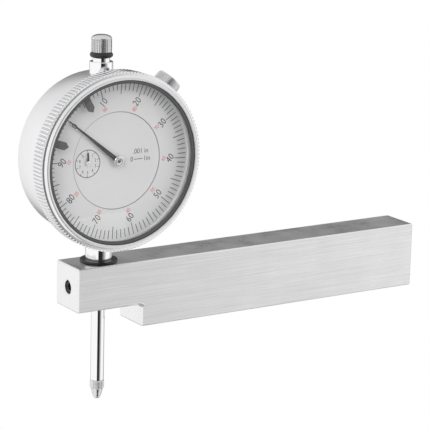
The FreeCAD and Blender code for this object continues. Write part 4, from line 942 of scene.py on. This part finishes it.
def make_movement():
    """Inner pieces keep their CAD shapes and get their metals."""
    done = ("holder_bar", "outer_dial", "inner_dial", "rack_spindle", "lower_tolerance_hand",
            "upper_tolerance_hand")
    looks = {"bearing_jewels": "jewel_red", "stem_screw": "blackened_steel"}
    for name in ("main_gear", "counter_gear", "takeup_gear", "movement_plate", "front_bridge",
                 "rear_bridge", "stem_bush", "sleeve_bush", "hairspring_collet", "hairspring_stud"):
        looks[name] = "brass"
    for name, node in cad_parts.items():
        if not node.hide_render and name not in done:
            dressed(name, looks.get(name, "steel"))


# ---- studio --------------------------------------------------------------------------

def make_camera():
    """Camera before the object, a little to its left and above it."""
    yaw = math.radians(33.099)
    drop = math.radians(13.793)
    roll = math.radians(1.539)
    ahead = Vector((math.sin(yaw) * math.cos(drop), math.cos(yaw) * math.cos(drop), -math.sin(drop)))
    right = Vector((math.cos(yaw), -math.sin(yaw), 0.0))
    up = right.cross(ahead)
    right_rolled = right * math.cos(roll) + up * math.sin(roll)
    up_rolled = up * math.cos(roll) - right * math.sin(roll)
    data = bpy.data.cameras.new("camera")
    data.lens = bpy.context.scene.indicator_studio.lens
    data.sensor_width = 36.0
    camera = placed("camera", data)
    turn = Matrix((right_rolled, up_rolled, -ahead)).transposed().to_4x4()
    camera.matrix_world = Matrix.Translation((-0.446877, -0.647041, 0.224761)) @ turn
    bpy.context.scene.camera = camera


def make_floor():
    """Wide floor that only the camera sees."""
    shape = bmesh.new()
    side = 6.0
    low = cad_box[0].z - 0.0004
    ends = ((-side, -side), (side, -side), (side, side), (-side, side))
    shape.faces.new([shape.verts.new((x, y, low)) for x, y in ends])
    mesh = as_mesh(shape)
    floor = placed("floor", mesh)
    made, tree, out = blank_material("pale_floor")
    glow = add(tree, "ShaderNodeEmission", values={"Color": (1.0, 1.0, 1.0, 1.0), "Strength": 1.0})
    tree.links.new(glow.outputs[0], out.inputs["Surface"])
    mesh.materials.append(made)
    floor.visible_glossy = False
    floor.visible_diffuse = False
    floor.visible_transmission = False
    floor.visible_shadow = False


def make_tent():
    """White tent with a dark opening in front, a grey far side and a bright left and right."""
    world = bpy.data.worlds.new("tent")
    bpy.context.scene.world = world
    world.use_nodes = True
    tree = world.node_tree
    tree.nodes.clear()
    out = tree.nodes.new("ShaderNodeOutputWorld")
    place = tree.nodes.new("ShaderNodeTexCoord").outputs["Generated"]
    apart = add(tree, "ShaderNodeSeparateXYZ", {"Vector": place})
    azimuth = add(tree, "ShaderNodeMath", {0: apart.outputs["Y"], 1: apart.outputs["X"]},
                  operation="ARCTAN2")
    share = add(tree, "ShaderNodeMapRange", {"Value": azimuth.outputs[0]},
                {"From Min": -math.pi, "From Max": math.pi, "To Min": 0.0, "To Max": 1.0})
    ramp = add(tree, "ShaderNodeValToRGB", {"Fac": share.outputs[0]})
    stops = ((0.00, 1.1), (0.155, 1.1), (0.163, 0.02), (0.25, 0.03), (0.285, 0.3), (0.32, 0.58),
             (0.355, 1.05), (0.46, 1.15), (0.55, 0.6), (0.63, 0.12), (0.705, 0.14), (0.765, 0.95),
             (0.83, 1.1), (1.0, 1.1))
    ramp.color_ramp.elements.remove(ramp.color_ramp.elements[0])
    for k, (spot, level) in enumerate(stops):
        stop = ramp.color_ramp.elements[0] if k == 0 else ramp.color_ramp.elements.new(spot)
        stop.position = spot
        stop.color = (level, level, level, 1.0)
    height = add(tree, "ShaderNodeMapRange", {"Value": apart.outputs["Z"]},
                 {"From Min": 0.36, "From Max": 0.58, "To Min": 0.0, "To Max": 1.0})
    overhead = add(tree, "ShaderNodeMix", {"Factor": height.outputs[0], "A": ramp.outputs[0]},
                   data_type="RGBA")
    overhead.inputs["B"].default_value = (0.95, 0.95, 0.95, 1.0)
    strength = bpy.context.scene.indicator_studio.tent
    tent = add(tree, "ShaderNodeBackground", {"Color": overhead.outputs["Result"]}, {"Strength": strength})
    white = add(tree, "ShaderNodeBackground", values={"Color": (1.0, 1.0, 1.0, 1.0), "Strength": 1.0})
    path = tree.nodes.new("ShaderNodeLightPath")
    mix = add(tree, "ShaderNodeMixShader", {0: path.outputs["Is Camera Ray"], 1: tent.outputs[0],
                                            2: white.outputs[0]})
    tree.links.new(mix.outputs[0], out.inputs["Surface"])


def make_lights():
    """Two soft lamps that leave no highlight of their own."""
    power = bpy.context.scene.indicator_studio.key
    aim = Vector((-0.04, 0.0, 0.05))
    for label, spot, size, share in (("key", (-0.55, -0.35, 0.45), 0.35, 1.0),
                                     ("fill", (0.5, -0.6, 0.25), 0.5, 0.7)):
        data = bpy.data.lights.new(label, "AREA")
        data.energy = power * share
        data.size = size
        light = placed(label, data)
        light.location = spot
        light.rotation_euler = (Vector(spot) - aim).to_track_quat("Z", "Y").to_euler()
        light.visible_glossy = False


def make_studio():
    bpy.context.scene.view_settings.view_transform = "Standard"
    make_camera()
    make_floor()
    make_tent()
    make_lights()


# ---- operators, panel and registration ---------------------------------------------------

def operator(idname, label, words, *steps):
    """Operator class that carries out its steps and reports FINISHED."""
    def execute(self, context):
        for step in steps:
            step()
        return {"FINISHED"}

    return type("INDICATOR_OT_" + idname, (bpy.types.Operator,), {
        "bl_idname": "indicator." + idname, "bl_label": label, "__doc__": words, "execute": execute})


OPERATORS = [
    operator("bar", "Gauge bar", "Gives the bar its drawn metal.", make_bar),
    operator("stem", "Stem and sleeve", "Makes the stem, its rubber ring and the top sleeve.", make_stem),
    operator("case", "Case", "Makes the case and its back cover.", make_case),
    operator("screws", "Cover screws", "Makes the slotted screws of the back cover.", make_screws),
    operator("bezel", "Bezel", "Makes the knurled bezel.", make_bezel),
    operator("crystal", "Crystal", "Makes the crystal and its sealing ring.", make_crystal),
    operator("scale", "Outer scale", "Prints marks and numerals on the turning dial.", make_outer_scale),
    operator("counter", "Inner dial", "Prints the fixed dial and its revolution counter.", make_inner_dial),
    operator("hands", "Hands", "Makes the pointer, its hub and the revolution hand.", make_hands),
    operator("plunger", "Plunger", "Makes spindle, contact point, lifting cap and cushion.", make_plunger),
    operator("knob", "Clamp knob", "Makes the knurled bezel clamp knob.", make_knob),
    operator("movement", "Movement", "Gives the inner pieces their metals.", make_movement),
    operator("studio", "Studio", "Sets the camera, floor and soft lights.", make_studio),
]


class INDICATOR_PT_panel(bpy.types.Panel):
    """Lists the pieces of the indicator."""
    bl_idname = "INDICATOR_PT_panel"
    bl_label = "Dial indicator"
    bl_space_type = "VIEW_3D"
    bl_region_type = "UI"
    bl_category = "Indicator"

    def draw(self, context):
        for made in OPERATORS:
            self.layout.operator(made.bl_idname)


SETTINGS = {"indicator_bar": BarSettings, "indicator_case": CaseSettings, "indicator_dial": DialSettings,
            "indicator_plunger": PlungerSettings, "indicator_studio": StudioSettings}


def register():
    for settings in SETTINGS.values():
        bpy.utils.register_class(settings)
    for made in OPERATORS:
        bpy.utils.register_class(made)
    bpy.utils.register_class(INDICATOR_PT_panel)
    for name, settings in SETTINGS.items():
        setattr(bpy.types.Scene, name, bpy.props.PointerProperty(type=settings))


def unregister():
    for name in SETTINGS:
        delattr(bpy.types.Scene, name)
    bpy.utils.unregister_class(INDICATOR_PT_panel)
    for made in reversed(OPERATORS):
        bpy.utils.unregister_class(made)
    for settings in reversed(list(SETTINGS.values())):
        bpy.utils.unregister_class(settings)


def main():
    register()
    for made in OPERATORS:
        step = getattr(bpy.ops.indicator, made.bl_idname.split(".")[1])
        step()


if __name__ == "__main__":
    main()
